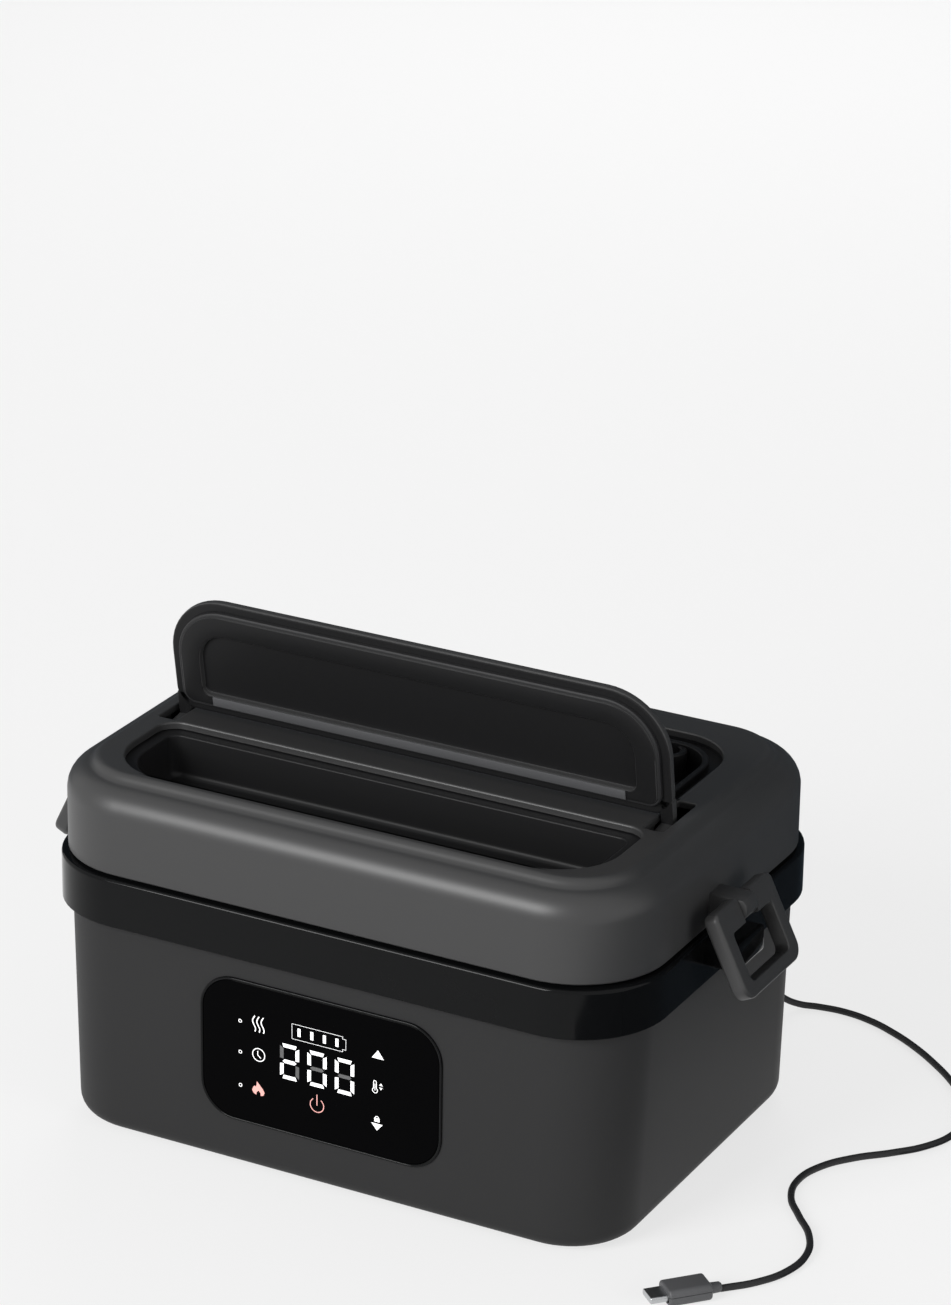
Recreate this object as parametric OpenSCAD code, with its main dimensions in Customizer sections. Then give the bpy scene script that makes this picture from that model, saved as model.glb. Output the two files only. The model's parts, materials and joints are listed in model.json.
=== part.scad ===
// Electric lunch box: a heated base with a control panel, a steel food tray, an inner lid with a
// steam valve, and an outer lid with two compartments, a hinged flap and two side latches.
// The origin is at the middle of the footprint, under the feet. +X is the right side, the panel
// faces -Y, and +Z is up. Everything is drawn closed, with the flap standing open.

/* [Base] */
// Width of the collar round the top of the base
collar_w = 240; // [238:1:243]
// Depth of the collar, front to back
collar_d = 174; // [173:1:176]
// Corner radius of the collar
collar_r = 34; // [31:1:36]
// Height of the collar's lower edge
collar_z = 86.3; // [85.5:0.1:87]
// Height of the collar's upper edge
collar_top_z = 104.9; // [104.6:0.1:105.1]
// Height of the flat deck that the tray's rim rests on
deck_z = 107; // [106.8:0.1:107.1]
// Width of the body just above its rounded bottom edge
body_w = 227; // [224:0.2:228]
// Depth of the body just above its rounded bottom edge
body_d = 165.6; // [163:0.2:166]
// Radius of the rounded bottom edge
body_edge_r = 7; // [5:1:8]
// Wall thickness of the plastic mouldings
wall = 2.4; // [2:0.1:2.6]
// How far the catch stands out from the collar
catch_out = 13; // [11:0.5:13]
// Width of a catch, front to back
catch_w = 23; // [18:1:24]
// Height of a catch's underside
catch_z = 94; // [93.8:0.1:95]
// Height of a catch
catch_h = 10; // [8:0.5:10]
// Height of the rubber feet below the bottom cover
foot_h = 1; // [0.8:0.2:2]

/* [Heated well] */
// Width of the opening in the deck
well_w = 204.4; // [203.8:0.2:205.4]
// Depth of the opening, front to back
well_d = 143.2; // [142.6:0.2:144]
// Height of the step inside the opening
step_z = 89.4; // [89:0.1:90]
// Height of the pot's floor
pot_floor_z = 52; // [50:0.5:52]
// Sheet thickness of the pot
pot_t = 1.2; // [0.8:0.1:1.5]

/* [Food tray] */
// Width over the tray's rolled rim
tray_w = 225; // [223:0.5:225]
// Depth over the tray's rolled rim
tray_d = 157.2; // [156:0.2:157.4]
// Height of the underside of the tray's floor
tray_floor_z = 53; // [52.9:0.1:54]
// Sheet thickness of the tray
tray_t = 0.8; // [0.6:0.1:1]

/* [Inner lid] */
// Width of the inner lid
seal_lid_w = 219; // [217:0.2:219.6]
// Depth of the inner lid
seal_lid_d = 153; // [151:0.2:153.6]
// Diameter of the steam valve's cap
valve_d = 40.5; // [36:0.5:42]
// Height of the valve's cap above the inner lid
valve_h = 3.8; // [3:0.1:4]

/* [Outer lid] */
// Width of the outer lid
lid_w = 236.8; // [236:0.2:237.2]
// Depth of the outer lid
lid_d = 170.8; // [170.4:0.2:171.2]
// Height of the outer lid's lower edge
lid_z = 105.95; // [105.9:0.05:106.1]
// Height from the lower edge to the flat top
lid_h = 35.2; // [34.8:0.1:35.4]
// Radius of the shoulder
lid_shoulder_r = 10; // [9:0.5:10]
// Thickness of the lid's flat top
lid_top_t = 2.6; // [2.4:0.1:2.6]

/* [Compartments] */
// Half width of the front compartment's opening
front_half_w = 98; // [97.7:0.1:98.4]
// Front edge of the front compartment's opening
front_y0 = -71; // [-71.4:0.1:-70.6]
// Back edge of the front compartment's opening
front_y1 = -24.5; // [-24.8:0.1:-24.4]
// Depth of the ledge inside both openings
ledge_drop = 3; // [2.8:0.1:3]
// Half width of the rear compartment's opening
rear_half_w = 94.5; // [94:0.1:94.6]
// Front edge of the rear compartment's opening
rear_y0 = -2; // [-2.2:0.1:-1]
// Back edge of the rear compartment's opening
rear_y1 = 59.5; // [58:0.5:60]

/* [Flap] */
// Half width of the flap
flap_half_w = 101; // [100.6:0.1:101.4]
// Length of the flap from its hinge edge to its free edge
flap_l = 47.7; // [47.4:0.1:48]
// Thickness of the flap's plate
flap_t = 3.35; // [3:0.05:3.5]
// Angle from closed to the open rest, leaning on its stop
flap_open = 80.5; // [70:0.5:80.5]
// Diameter of the hinge and latch pins
pin_d = 2.9; // [2.5:0.1:3]

/* [Latches] */
// Height of a latch loop
loop_h = 33.1; // [32.9:0.1:33.4]
// Width of a latch loop, front to back
loop_w = 44.6; // [42:0.2:46]
// Thickness of a latch loop
loop_t = 6; // [5.5:0.1:6]
// Angle that an unlatched loop hangs out from the side
loop_out = 26; // [26:1:32]

/* [Control panel] */
// Width of the panel's window
panel_w = 96.2; // [92:0.2:98]
// Height of the panel's window
panel_h = 54.6; // [50:0.2:56]
// Height of the middle of the panel
panel_z = 48.5; // [46:0.5:50]

/* [Electrics] */
// Diameter of a battery cell
cell_d = 18.4; // [18:0.1:18.6]
// Number of battery cells
cell_count = 8; // [6:1:8]

/* [Cord] */
// Diameter of the charging cord
cord_d = 2.6; // [2.4:0.1:2.8]

/* [Hidden] */
$fn = 48;

// Colours as on the real object
matte_body = "#333435";
matte_lid = "#38393b";
gloss_black = "#0b0c0e";
steel = "#c4c6c8";
smoke = "#8f8682";
orange = "#e2763f";
rubber = "#1b1b1c";
board_green = "#1f5a3c";
white_wrap = "#d8d8d2";
plastic_grey = "#55575a";

// Steps in a rounded corner and along a bowed side
corner_steps = 7;
side_steps = 4;

// Running gap round a pin, and the gap between neighbours that do not touch
fit_gap = 0.05;
clear = 0.3;

// Outlines: half width, half depth, corner radius and how far the two kinds of side bow out
collar_o = [collar_w / 2, collar_d / 2, collar_r, [0, 0]];
plateau_o = [collar_w / 2 - 6, collar_d / 2 - 4.8, collar_r - 6.5, [0, 0]];
neck_o = [collar_w / 2 - 4.1, collar_d / 2 - 4.1, collar_r - 4.5, [0, 0]];
body_o = [body_w / 2, body_d / 2, collar_r - 6.5, [0, 0]];
well_o = [well_w / 2, well_d / 2, 33, [0, 0]];
pot_top_o = [well_w / 2 - 2, well_d / 2 - 2, 31, [0, 0]];
pot_foot_o = [well_w / 2 - 5.6, well_d / 2 - 8.7, 27, [0, 0]];
tray_rim_o = [tray_w / 2, tray_d / 2, 25, [10.8, 4.2]];
tray_band_o = [tray_w / 2 - 11.3, tray_d / 2 - 9.7, 28.5, [6.2, 4]];
tray_waist_o = [tray_w / 2 - 14.3, tray_d / 2 - 12.8, 23, [4.4, 3.8]];
tray_foot_o = [tray_w / 2 - 20.5, tray_d / 2 - 18.6, 15, [1.5, 3]];
seal_lid_o = [seal_lid_w / 2, seal_lid_d / 2, 25, [7.4, 4]];
lid_o = [lid_w / 2, lid_d / 2, 34.7, [0, 0]];

// Heights that follow from the driving ones
cover_top_z = foot_h + wall;
neck_top_z = collar_top_z - 2.6;
pot_flange_z = collar_z - 0.7;
pot_edge_r = 6;
tray_groove_z = deck_z - 13;
tray_rim_z = deck_z + clear;
seal_lid_z = tray_rim_z + 2.7;
seal_plate_z = seal_lid_z + 2.4;
seal_plate_t = 1.2;
lid_top_z = lid_z + lid_h;
lid_under_z = lid_top_z - lid_top_t;
liner_z = lid_z + 11.45;
liner_t = 1.6;
ledge_z = lid_top_z - ledge_drop;
insert_t = 1.6;
front_floor_z = liner_z + liner_t + 3;
rear_floor_z = front_floor_z + 6.5;

// Hinge of the flap, in the Y-Z plane, and the closed place of its plate
flap_axis = [-17.8, lid_top_z - 6.55];
flap_y1 = -23.8;
flap_y0 = flap_y1 - flap_l;
flap_z = lid_top_z + clear;
arm_x0 = 96;
arm_x1 = flap_half_w;
slot_x0 = 95.2;
slot_x1 = 102.6;
slot_y0 = -23.5;
slot_y1 = 3.5;

// Pivot of the latch loops, in the X-Z plane, and the middle of a loop along Y
loop_axis = [lid_w / 2 + 9.6, lid_z + 9.05];
loop_y = -12.7;
loop_bar = 6.8;
loop_top = 3.9;
loop_window_top = -5.5;
loop_window_bottom = -24;
knuckle_w = 9.6;
knuckle_r = 5;

// Panel: the front wall leans out, so everything on it is drawn in the wall's own plane
neck_half_d = neck_o[1];
panel_reach = collar_d / 2;
panel_slope = (neck_half_d - body_d / 2) / (collar_z - foot_h - body_edge_r);
panel_lean = atan(panel_slope);
panel_y = -(body_d / 2 + panel_slope * (panel_z - foot_h - body_edge_r));
panel_r = 13;
bezel_w = 1.1;
pocket_depth = 1.6;

// Places of fasteners, feet and posts
foot_at = [84, 54];
bottom_screw_at = [95, 38];
pot_screw_at = [[107.5, 34], [-107.5, 34], [-107.5, -34], [107.5, -34]];
lid_screw_at = [[106, 45], [-106, 45], [-106, -45], [106, -45], [0, 75.6], [0, -75.6]];
display_screw_at = [47, 18];
board_x = [-36, 88];
board_y = [26, 76];
board_z = 20;
board_t = 1.6;
post_at = [[-32, 32], [84, 32], [-32, 60], [84, 60]];
socket_x = [56, 78];
socket_z = board_z + board_t + 2.1;
rear_wall_y = body_d / 2 + panel_slope * (socket_z - foot_h - body_edge_r);
cell_pitch = cell_d + 1;
cell_l = 65;
cell_y0 = -52;
cell_z = cover_top_z + 3.2 + cell_d / 2;

// Route of the charging cord: out of its plug behind the base, down to the table, round a loose
// bend and forward past the right side
cord_z = 1.4;
cord_route = [[78, 106, 23], [78, 112, 22.8], [78, 118, 21], [78.5, 123, 17], [80, 127, 11],
    [83, 131, 5.5], [88, 135, 2.2], [95, 138, cord_z], [105, 139, cord_z], [117, 137, cord_z],
    [129, 132, cord_z], [141, 125, cord_z], [153, 116, cord_z], [164, 106, cord_z],
    [174, 94, cord_z], [180, 81, cord_z], [181, 67, cord_z], [176, 54, cord_z],
    [167, 43, cord_z], [157, 33, cord_z], [149, 21, cord_z], [146, 8, cord_z],
    [149, -5, cord_z], [157, -16, cord_z], [166, -27, cord_z], [171, -40, cord_z],
    [170, -54, cord_z], [164, -66, cord_z], [155, -76, cord_z]];
heater_route = [[-50, 20, 47.8], [-54, 22, 44], [-56, 25, 38], [-53, 30, 32], [-46, 35, 27],
    [-40, 40, 25], [-36, 42.6, 24.5], [-32.3, 43, 24.4]];
display_route = [[0, -72, 40], [0, -66, 37], [0, -58, 33], [0, -50, 31], [0, -30, 30],
    [0, 0, 30], [0, 14, 30], [2, 22, 28.5], [5, 29, 26.5], [7.6, 33, 25], [8, 35.7, 24.6]];

// ---------------------------------------------------------------- outlines and skins

function sgn(v) = v < 0 ? -1 : 1;

// Rounded rectangle with bowed sides, counter-clockwise seen from above
function outline(hx, hy, r, bow) = [
    for (q = [0:3])
        let (sx = (q == 0 || q == 3) ? 1 : -1)
        let (sy = q < 2 ? 1 : -1)
        let (mid = [sx * (hx - r), sy * (hy - r)])
        let (next = (q % 2 == 0) ? [-mid.x, mid.y] : [mid.x, -mid.y])
        let (tip = r * [cos(90 * q + 90), sin(90 * q + 90)])
        for (i = [0:corner_steps + side_steps - 1])
            let (a = 90 * q + 90 * i / corner_steps)
            let (t = (i - corner_steps) / side_steps)
            let (p = i <= corner_steps ? mid + r * [cos(a), sin(a)] : mid + tip + t * (next - mid))
            [p.x - sgn(p.x) * bow[0] * pow(p.y / hy, 2), p.y - sgn(p.y) * bow[1] * pow(p.x / hx, 2)]];

function ring(o, inset, z) = [
    for (p = outline(o[0] - inset, o[1] - inset, max(o[2] - inset, 1), o[3])) [p.x, p.y, z]];

// Rings for a profile given as [inset, height] points
function rings(o, profile) = [for (q = profile) ring(o, q[0], q[1])];

// Arc of a profile about c: 180 points outwards, 90 up
function bend(c, r, a0, a1, n = 4) = [
    for (i = [0:n]) let (a = a0 + (a1 - a0) * i / n) [c.x + r * cos(a), c.y + r * sin(a)]];

// Outline that is symmetric in X, with its own radii at the front and at the back
function panel_points(hx, y0, y1, r0, r1, n = 10) = concat(
    [for (i = [0:n]) [hx - r1 + r1 * cos(90 * i / n), y1 - r1 + r1 * sin(90 * i / n)]],
    [for (i = [0:n]) [-hx + r1 - r1 * sin(90 * i / n), y1 - r1 + r1 * cos(90 * i / n)]],
    [for (i = [0:n]) [-hx + r0 - r0 * cos(90 * i / n), y0 + r0 - r0 * sin(90 * i / n)]],
    [for (i = [0:n]) [hx - r0 + r0 * sin(90 * i / n), y0 + r0 - r0 * cos(90 * i / n)]]);

function total(v, i = 0) = i < len(v) ? v[i] + total(v, i + 1) : v[0] * 0;

// One closed skin over a stack of equal rings, capped with fans at both ends or joined end to end
module skin(stack, capped = true) {
    n = len(stack[0]);
    m = len(stack);
    sides = [
        for (i = [0:capped ? m - 2 : m - 1], j = [0:n - 1])
            let (k = (j + 1) % n)
            let (up = ((i + 1) % m) * n)
            each [[i * n + j, up + j, up + k], [i * n + j, up + k, i * n + k]]];
    fans = [
        for (j = [0:n - 1])
            let (k = (j + 1) % n)
            each [[m * n, j, k], [m * n + 1, (m - 1) * n + k, (m - 1) * n + j]]];
    hubs = [total(stack[0]) / n, total(stack[m - 1]) / n];
    points = [for (r = stack) each r];
    polyhedron(concat(points, capped ? hubs : []), concat(sides, capped ? fans : []), convexity = 8);
}

// Plate with rounded corners, standing on z
module plate(hx, hy, r, z, t) {
    translate([0, 0, z])
        linear_extrude(t)
            polygon(panel_points(hx, -hy, hy, r, r));
}

module slab(hx, y0, y1, r0, r1, z0, z1) {
    translate([0, 0, z0])
        linear_extrude(z1 - z0)
            polygon(panel_points(hx, y0, y1, r0, r1));
}

module rod(at, d, z0, z1) {
    translate([at.x, at.y, z0])
        cylinder(d = d, h = z1 - z0);
}

// Box between two corners
module block(a, b) {
    translate(a)
        cube(b - a);
}

// Everything that repeats at the four corners of a rectangle
module at_corners(p) {
    for (sx = [-1, 1], sy = [-1, 1])
        translate([sx * p.x, sy * p.y, 0])
            children();
}

// Pan head screw pointing up, its head's underside on z
module screw(z, shank_l, head_d = 5.6, head_h = 1.7, shank_d = 2.4) {
    translate([0, 0, z - head_h])
        difference() {
            cylinder(d = head_d, h = head_h);
            translate([0, 0, -1])
                linear_extrude(1.9)
                    for (a = [0, 90])
                        rotate(a)
                            square([3, 0.8], center = true);
        }
    translate([0, 0, z])
        cylinder(d = shank_d, h = shank_l);
}

// Into the plane of the control panel: X right, Y up the wall, Z out of it
module on_panel() {
    translate([0, panel_y, panel_z])
        rotate([90 + panel_lean, 0, 0])
            children();
}

// Tube along a route of points
function unit(v) = v / norm(v);
function heading(route, i) =
    unit(route[min(i + 1, len(route) - 1)] - route[max(i - 1, 0)]);
module tube(route, d, sides = 8) {
    m = len(route);
    stack = [
        for (i = [0:m - 1])
            let (t = heading(route, i))
            let (u = unit(cross(t, [0.02, 0.03, 1])))
            let (v = cross(u, t))
            [for (j = [0:sides - 1])
                let (a = 360 * j / sides)
                route[i] + d / 2 * (cos(a) * u + sin(a) * v)]];
    skin(stack);
}

// ---------------------------------------------------------------- base

module base_shell() {
    edge = [body_edge_r, foot_h + body_edge_r];
    lip = body_edge_r + 3.6;
    color(matte_body)
        difference() {
            union() {
                skin(concat(
                    rings(body_o, bend(edge, body_edge_r, 270, 180)),
                    rings(neck_o, [[0, collar_z], [0, neck_top_z], [wall, neck_top_z], [wall, collar_z]]),
                    rings(body_o, bend(edge, body_edge_r - wall, 180, 270)),
                    rings(body_o, [[lip, cover_top_z], [lip, foot_h]])), capped = false);
                at_corners(bottom_screw_at)
                    rod([0, 0], 7.5, cover_top_z + 0.2, 24);
                for (sx = [-1, 1], sy = [-1, 1])
                    translate([sx * (bottom_screw_at.x + 9), sy * bottom_screw_at.y, 14.5])
                        cube([16, wall, 19], center = true);
                on_panel()
                    at_corners(display_screw_at)
                        rod([0, 0], 4.4, -7.4, -1.7);
            }
            at_corners(bottom_screw_at)
                rod([0, 0], 2.5, cover_top_z, 20);
            on_panel() {
                plate(panel_w / 2 + bezel_w, panel_h / 2 + bezel_w, panel_r + bezel_w, -pocket_depth, 6);
                plate(43, 22, 6, -6, 8);
                at_corners(display_screw_at)
                    rod([0, 0], 1.7, -8, -3);
            }
            for (x = socket_x)
                translate([x, rear_wall_y, socket_z])
                    rotate([90, 0, 0])
                        plate(5.1, 2.2, 2.1, -6, 12);
        }
}

module bottom_cover() {
    hx = body_o[0] - body_edge_r - 3.6 - clear;
    hy = body_o[1] - body_edge_r - 3.6 - clear;
    color(matte_body)
        difference() {
            union() {
                plate(hx, hy, 16, foot_h, wall);
                for (p = post_at)
                    rod(p, 6, foot_h + 1, board_z);
            }
            at_corners(foot_at)
                rod([0, 0], 16.6, foot_h - 1, foot_h + 1.2);
            at_corners(bottom_screw_at) {
                rod([0, 0], 2.8, foot_h - 1, cover_top_z + 1);
                rod([0, 0], 6.4, foot_h - 1, foot_h + 1.4);
            }
            for (p = post_at)
                rod(p, 2, 6, board_z + 1);
            for (i = [-4:4])
                translate([i * 6, 0, foot_h])
                    cube([2.4, 34, 8], center = true);
        }
}

module rubber_feet() {
    color(rubber)
        at_corners(foot_at)
            rotate_extrude()
                polygon([[0, 0], [7.2, 0], [8, 0.8], [8, foot_h + 1.1], [0, foot_h + 1.1]]);
}

module bottom_screws() {
    color(steel)
        at_corners(bottom_screw_at)
            screw(foot_h + 1.4, 14);
}

module catch_body(side) {
    x0 = collar_w / 2 - 1.5;
    x1 = collar_w / 2 + catch_out;
    r = 1.4;
    half = catch_w / 2;
    translate([0, loop_y, 0])
        hull()
            for (y = [-half + r, half - r], z = [catch_z + r, catch_z + catch_h - r]) {
                translate([side * (x1 - r), y, z])
                    sphere(r, $fn = 16);
                translate([side * x0, y, z])
                    sphere(r, $fn = 16);
            }
}

module top_deck() {
    step_in = 2;
    under_z = deck_z - 2.5;
    color(gloss_black)
        difference() {
            union() {
                skin(concat(
                    rings(collar_o, [[0, collar_z], [0, collar_top_z - 1]]),
                    rings(collar_o, [[0.3, collar_top_z - 0.3], [1, collar_top_z]]),
                    rings(plateau_o, [[0, deck_z - 0.3], [0.5, deck_z]]),
                    rings(well_o, bend([-1.2, deck_z - 1.2], 1.2, 90, 0)),
                    rings(well_o, [[0, step_z + 0.8], [0.8, step_z]]),
                    rings(well_o, [[step_in, step_z], [step_in, step_z - 1.2]]),
                    rings(well_o, [[-wall, step_z - 1.2], [-wall, under_z]]),
                    rings(plateau_o, [[1.5, under_z]]),
                    rings(collar_o, [[3.7, collar_top_z - 2.4], [3.7, collar_z]])), capped = false);
                catch_body(1);
                catch_body(-1);
                for (p = pot_screw_at)
                    rod(p, 5.6, pot_flange_z + pot_t + 0.1, under_z + 0.5);
            }
            for (p = pot_screw_at)
                rod(p, 2.5, pot_flange_z, pot_flange_z + 12);
        }
}

// ---------------------------------------------------------------- heating

module heating_pot() {
    floor_mid = [pot_edge_r, pot_floor_z + pot_edge_r];
    flange = -9.3;
    color(gloss_black)
        difference() {
            skin(concat(
                rings(pot_foot_o, bend(floor_mid, pot_edge_r + pot_t, 270, 180)),
                rings(pot_top_o, [[-pot_t, pot_flange_z], [flange, pot_flange_z]]),
                rings(pot_top_o, [[flange, pot_flange_z + pot_t], [0, pot_flange_z + pot_t]]),
                rings(pot_foot_o, bend(floor_mid, pot_edge_r, 180, 270))));
            for (p = pot_screw_at)
                rod(p, 2.8, pot_flange_z - 1, pot_flange_z + pot_t + 1);
        }
}

module pot_seal() {
    z0 = pot_flange_z + pot_t;
    z1 = step_z - 1.2;
    color(rubber)
        skin(rings(pot_top_o, [[-3, z0], [-3, z1], [-0.4, z1], [-0.4, z0]]), capped = false);
}

module pot_screws() {
    color(steel)
        for (p = pot_screw_at)
            translate([p.x, p.y, 0])
                screw(pot_flange_z, 9);
}

module heater_film() {
    color(orange)
        plate(74, 44, 16, pot_floor_z - pot_t - 0.6, 0.6);
}

module heater_clamp_plate() {
    color(steel)
        difference() {
            plate(76, 46, 17, pot_floor_z - pot_t - 1.8, 1.2);
            rod([20, 0], 8, 40, 60);
        }
}

module temperature_probe() {
    color(white_wrap)
        union() {
            rod([20, 0], 7, pot_floor_z - pot_t - 4.6, pot_floor_z - pot_t - 0.6);
            rod([20, 0], 4, pot_floor_z - pot_t - 8, pot_floor_z - pot_t - 4.6);
        }
}

module thermal_fuse() {
    z = pot_floor_z - pot_t - 1.8 - 2.1;
    color(white_wrap)
        translate([-34, 0, z])
            rotate([0, 90, 0])
                union() {
                    cylinder(d = 4, h = 18);
                    translate([0, 0, -6])
                        cylinder(d = 1, h = 30);
                }
}

// Felt round the pot, cut away at the front for the display
module insulation_wrap() {
    z0 = 46;
    z1 = 82;
    color(white_wrap)
        difference() {
            skin(rings(pot_top_o, [[-8.5, z0], [-8.5, z1], [-4.5, z1], [-4.5, z0]]), capped = false);
            block([-54, -panel_reach, z0 - 1], [54, 17 - panel_reach, z1 - 6]);
        }
}

module insulation_pad() {
    color(white_wrap)
        difference() {
            plate(72, 42, 14, 42.5, 6.4);
            block([-44, -10, 40], [30, 10, 52]);
            block([-60, 12, 40], [-44, 28, 52]);
        }
}

// ---------------------------------------------------------------- battery and boards

module battery_cells() {
    color("#3f6fa8")
        for (i = [0:cell_count - 1])
            translate([(i - (cell_count - 1) / 2) * cell_pitch, cell_y0, cell_z])
                rotate([-90, 0, 0])
                    union() {
                        cylinder(d = cell_d, h = cell_l);
                        translate([0, 0, cell_l])
                            cylinder(d = 6, h = 0.8);
                    }
}

module battery_holder() {
    half = cell_count / 2 * cell_pitch + 1;
    color(plastic_grey)
        difference() {
            union() {
                block([-half, -48, cover_top_z + 0.3], [half, 9, cover_top_z + 1.9]);
                for (y = [-45, 3])
                    block([-half, y, cover_top_z + 1], [half, y + 3, cell_z]);
            }
            for (i = [0:cell_count - 1])
                translate([(i - (cell_count - 1) / 2) * cell_pitch, cell_y0 - 5, cell_z])
                    rotate([-90, 0, 0])
                        cylinder(d = cell_d + 0.3, h = cell_l + 20);
        }
}

module battery_strips() {
    color(steel)
        for (i = [0:2:cell_count - 2], y = [cell_y0 - 0.4, cell_y0 + cell_l + 0.85])
            translate([(i + 0.5 - (cell_count - 1) / 2) * cell_pitch, y + 0.15, cell_z])
                cube([cell_pitch + 8, 0.3, 7], center = true);
}

module control_board() {
    color(board_green)
        difference() {
            block([board_x[0], board_y[0], board_z + 0.1], [board_x[1], board_y[1], board_z + board_t]);
            for (p = post_at)
                rod(p, 2.6, board_z - 1, board_z + 3);
        }
}

module board_parts() {
    z = board_z + board_t;
    color(plastic_grey)
        union() {
            rod([-14, 50], 14, z, z + 7);
            for (x = [6, 17, 28])
                rod([x, 62], 8, z, z + 12);
            block([38, 40, z], [48, 50, z + 1.6]);
            block([58, 36, z], [65, 43, z + 1.4]);
            block([-32, 40, z], [-22, 46, z + 6]);
            block([2, 36, z], [14, 42, z + 6]);
        }
}

module board_screws() {
    color(steel)
        for (p = post_at)
            translate([p.x, p.y, board_z + board_t])
                rotate([180, 0, 0])
                    screw(0, 8, 5, 1.5, 1.9);
}

// Round-cornered sockets, open to the back
module usb_sockets() {
    color(steel)
        for (x = socket_x)
            translate([x, rear_wall_y - 0.6, socket_z])
                rotate([90, 0, 0])
                    union() {
                        difference() {
                            plate(4.9, 2, 1.9, 0, 8);
                            plate(4.5, 1.6, 1.5, -1, 8);
                        }
                        translate([-3.3, -0.35, 1.5])
                            cube([6.6, 0.7, 6]);
                    }
}

module heater_lead() {
    color("#c23b2e")
        tube(heater_route, 2);
}

module display_lead() {
    color(plastic_grey)
        tube(display_route, 2);
}

// ---------------------------------------------------------------- control panel

module panel_window() {
    color(gloss_black)
        on_panel()
            plate(panel_w / 2 - 0.05, panel_h / 2 - 0.05, panel_r, -pocket_depth + 0.1, pocket_depth + 0.4);
}

module panel_bezel() {
    out = bezel_w - 0.1;
    color(matte_lid)
        on_panel()
            difference() {
                plate(panel_w / 2 + out, panel_h / 2 + out, panel_r + out, 0.1 - pocket_depth,
                    pocket_depth + 0.8);
                plate(panel_w / 2, panel_h / 2, panel_r, -4, 8);
            }
}

module display_module() {
    color("#e8e8e8")
        on_panel()
            block([-36, -16, -7.3], [36, 18, -1.7]);
}

module display_board() {
    color(board_green)
        on_panel()
            difference() {
                plate(50, 24, 3, -9.1, 1.6);
                at_corners(display_screw_at)
                    rod([0, 0], 2.2, -12, 0);
            }
}

module display_screws() {
    color(steel)
        on_panel()
            at_corners(display_screw_at)
                screw(-9.1, 5, 3.8, 1.2, 1.6);
}

// ---------------------------------------------------------------- food tray and inner lid

module food_tray() {
    edge = [4, tray_floor_z + 4];
    rim = tray_rim_z;
    color(steel)
        skin(concat(
            rings(tray_foot_o, bend(edge, 4, 270, 180)),
            [ring(tray_waist_o, 0, 75)],
            rings(tray_band_o, [[1.2, tray_groove_z - 0.6], [1.2, tray_groove_z], [0, tray_groove_z + 0.6]]),
            rings(tray_band_o, [[0, rim - 0.8], [-0.6, rim - 0.1]]),
            rings(tray_rim_o, bend([1, rim + 1], 1, 270, 90)),
            rings(tray_rim_o, [[2.4, rim + 1.7], [3.4, rim + 2.2], [4.6, rim + 2.3], [6, rim + 1.9]]),
            rings(tray_rim_o, [[7, rim + 3.4], [8.2, rim + 3.6], [9.2, rim + 3.1]]),
            rings(tray_band_o, [[tray_t, rim + 1.4], [tray_t, tray_groove_z + 0.8]]),
            rings(tray_band_o, [[tray_t + 1.2, tray_groove_z + 0.1], [tray_t + 1.2, tray_groove_z - 0.8]]),
            [ring(tray_waist_o, tray_t, 75)],
            rings(tray_foot_o, bend(edge, 4 - tray_t, 180, 270))));
}

module inner_lid_panel() {
    z = seal_lid_z;
    top = seal_plate_z;
    under = seal_plate_z - seal_plate_t;
    color(smoke, 0.6)
        difference() {
            skin(rings(seal_lid_o, [[7, under], [2.5, under], [2.2, z], [0.4, z], [0, z + 0.4],
                [0, z + 3.9], [0.6, z + 4.5], [1.7, z + 4.5], [2.4, z + 3.9], [2.7, top + 0.3],
                [3.1, top], [7, top]]));
            rod([0, 0], 12, z - 5, z + 10);
        }
}

module inner_lid_gasket() {
    z1 = seal_plate_z - seal_plate_t;
    color("#d9d4cd")
        skin(rings(tray_band_o, [[2.4, z1 - 4], [1.4, z1 - 2.4], [1.4, z1], [4, z1], [4, z1 - 4]]),
            capped = false);
}

// Cap with a thin rim round its top and a broad thumb scoop towards one side
module steam_valve() {
    z = seal_plate_z + clear;
    top = seal_plate_z + valve_h;
    barb_z = seal_plate_z - seal_plate_t - 4;
    dish_z = top - 0.5;
    r = valve_d / 2;
    stem_r = 6 - fit_gap;
    scoop_at = [24.9, 1.8];
    scoop_half = 22.6;
    scoop_r = 160;
    color(orange)
        difference() {
            rotate_extrude($fn = 96)
                polygon([[0, barb_z - 2], [stem_r, barb_z - 2], [7.2, barb_z - 0.8], [7.2, barb_z],
                    [stem_r, barb_z], [stem_r, z], [r - 0.7, z], [r, z + 0.7], [r, top - 0.6],
                    [r - 0.6, top], [r - 1.3, top], [r - 1.9, dish_z], [0, dish_z]]);
            translate([scoop_at.x, scoop_at.y, dish_z + sqrt(pow(scoop_r, 2) - pow(scoop_half, 2))])
                sphere(scoop_r, $fn = 128);
        }
}

// ---------------------------------------------------------------- outer lid

// Ears that carry a hinge pin under the lid's top, either side of an arm's slot
module hinge_cheeks() {
    z0 = flap_axis[1] - 3.4;
    for (side = [-1, 1], x = [slot_x0 - 1.3, slot_x1 + 1.5])
        translate([side * x, flap_axis[0], (z0 + lid_under_z + 0.5) / 2])
            cube([2.4, 8, lid_under_z + 0.5 - z0], center = true);
}

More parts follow.
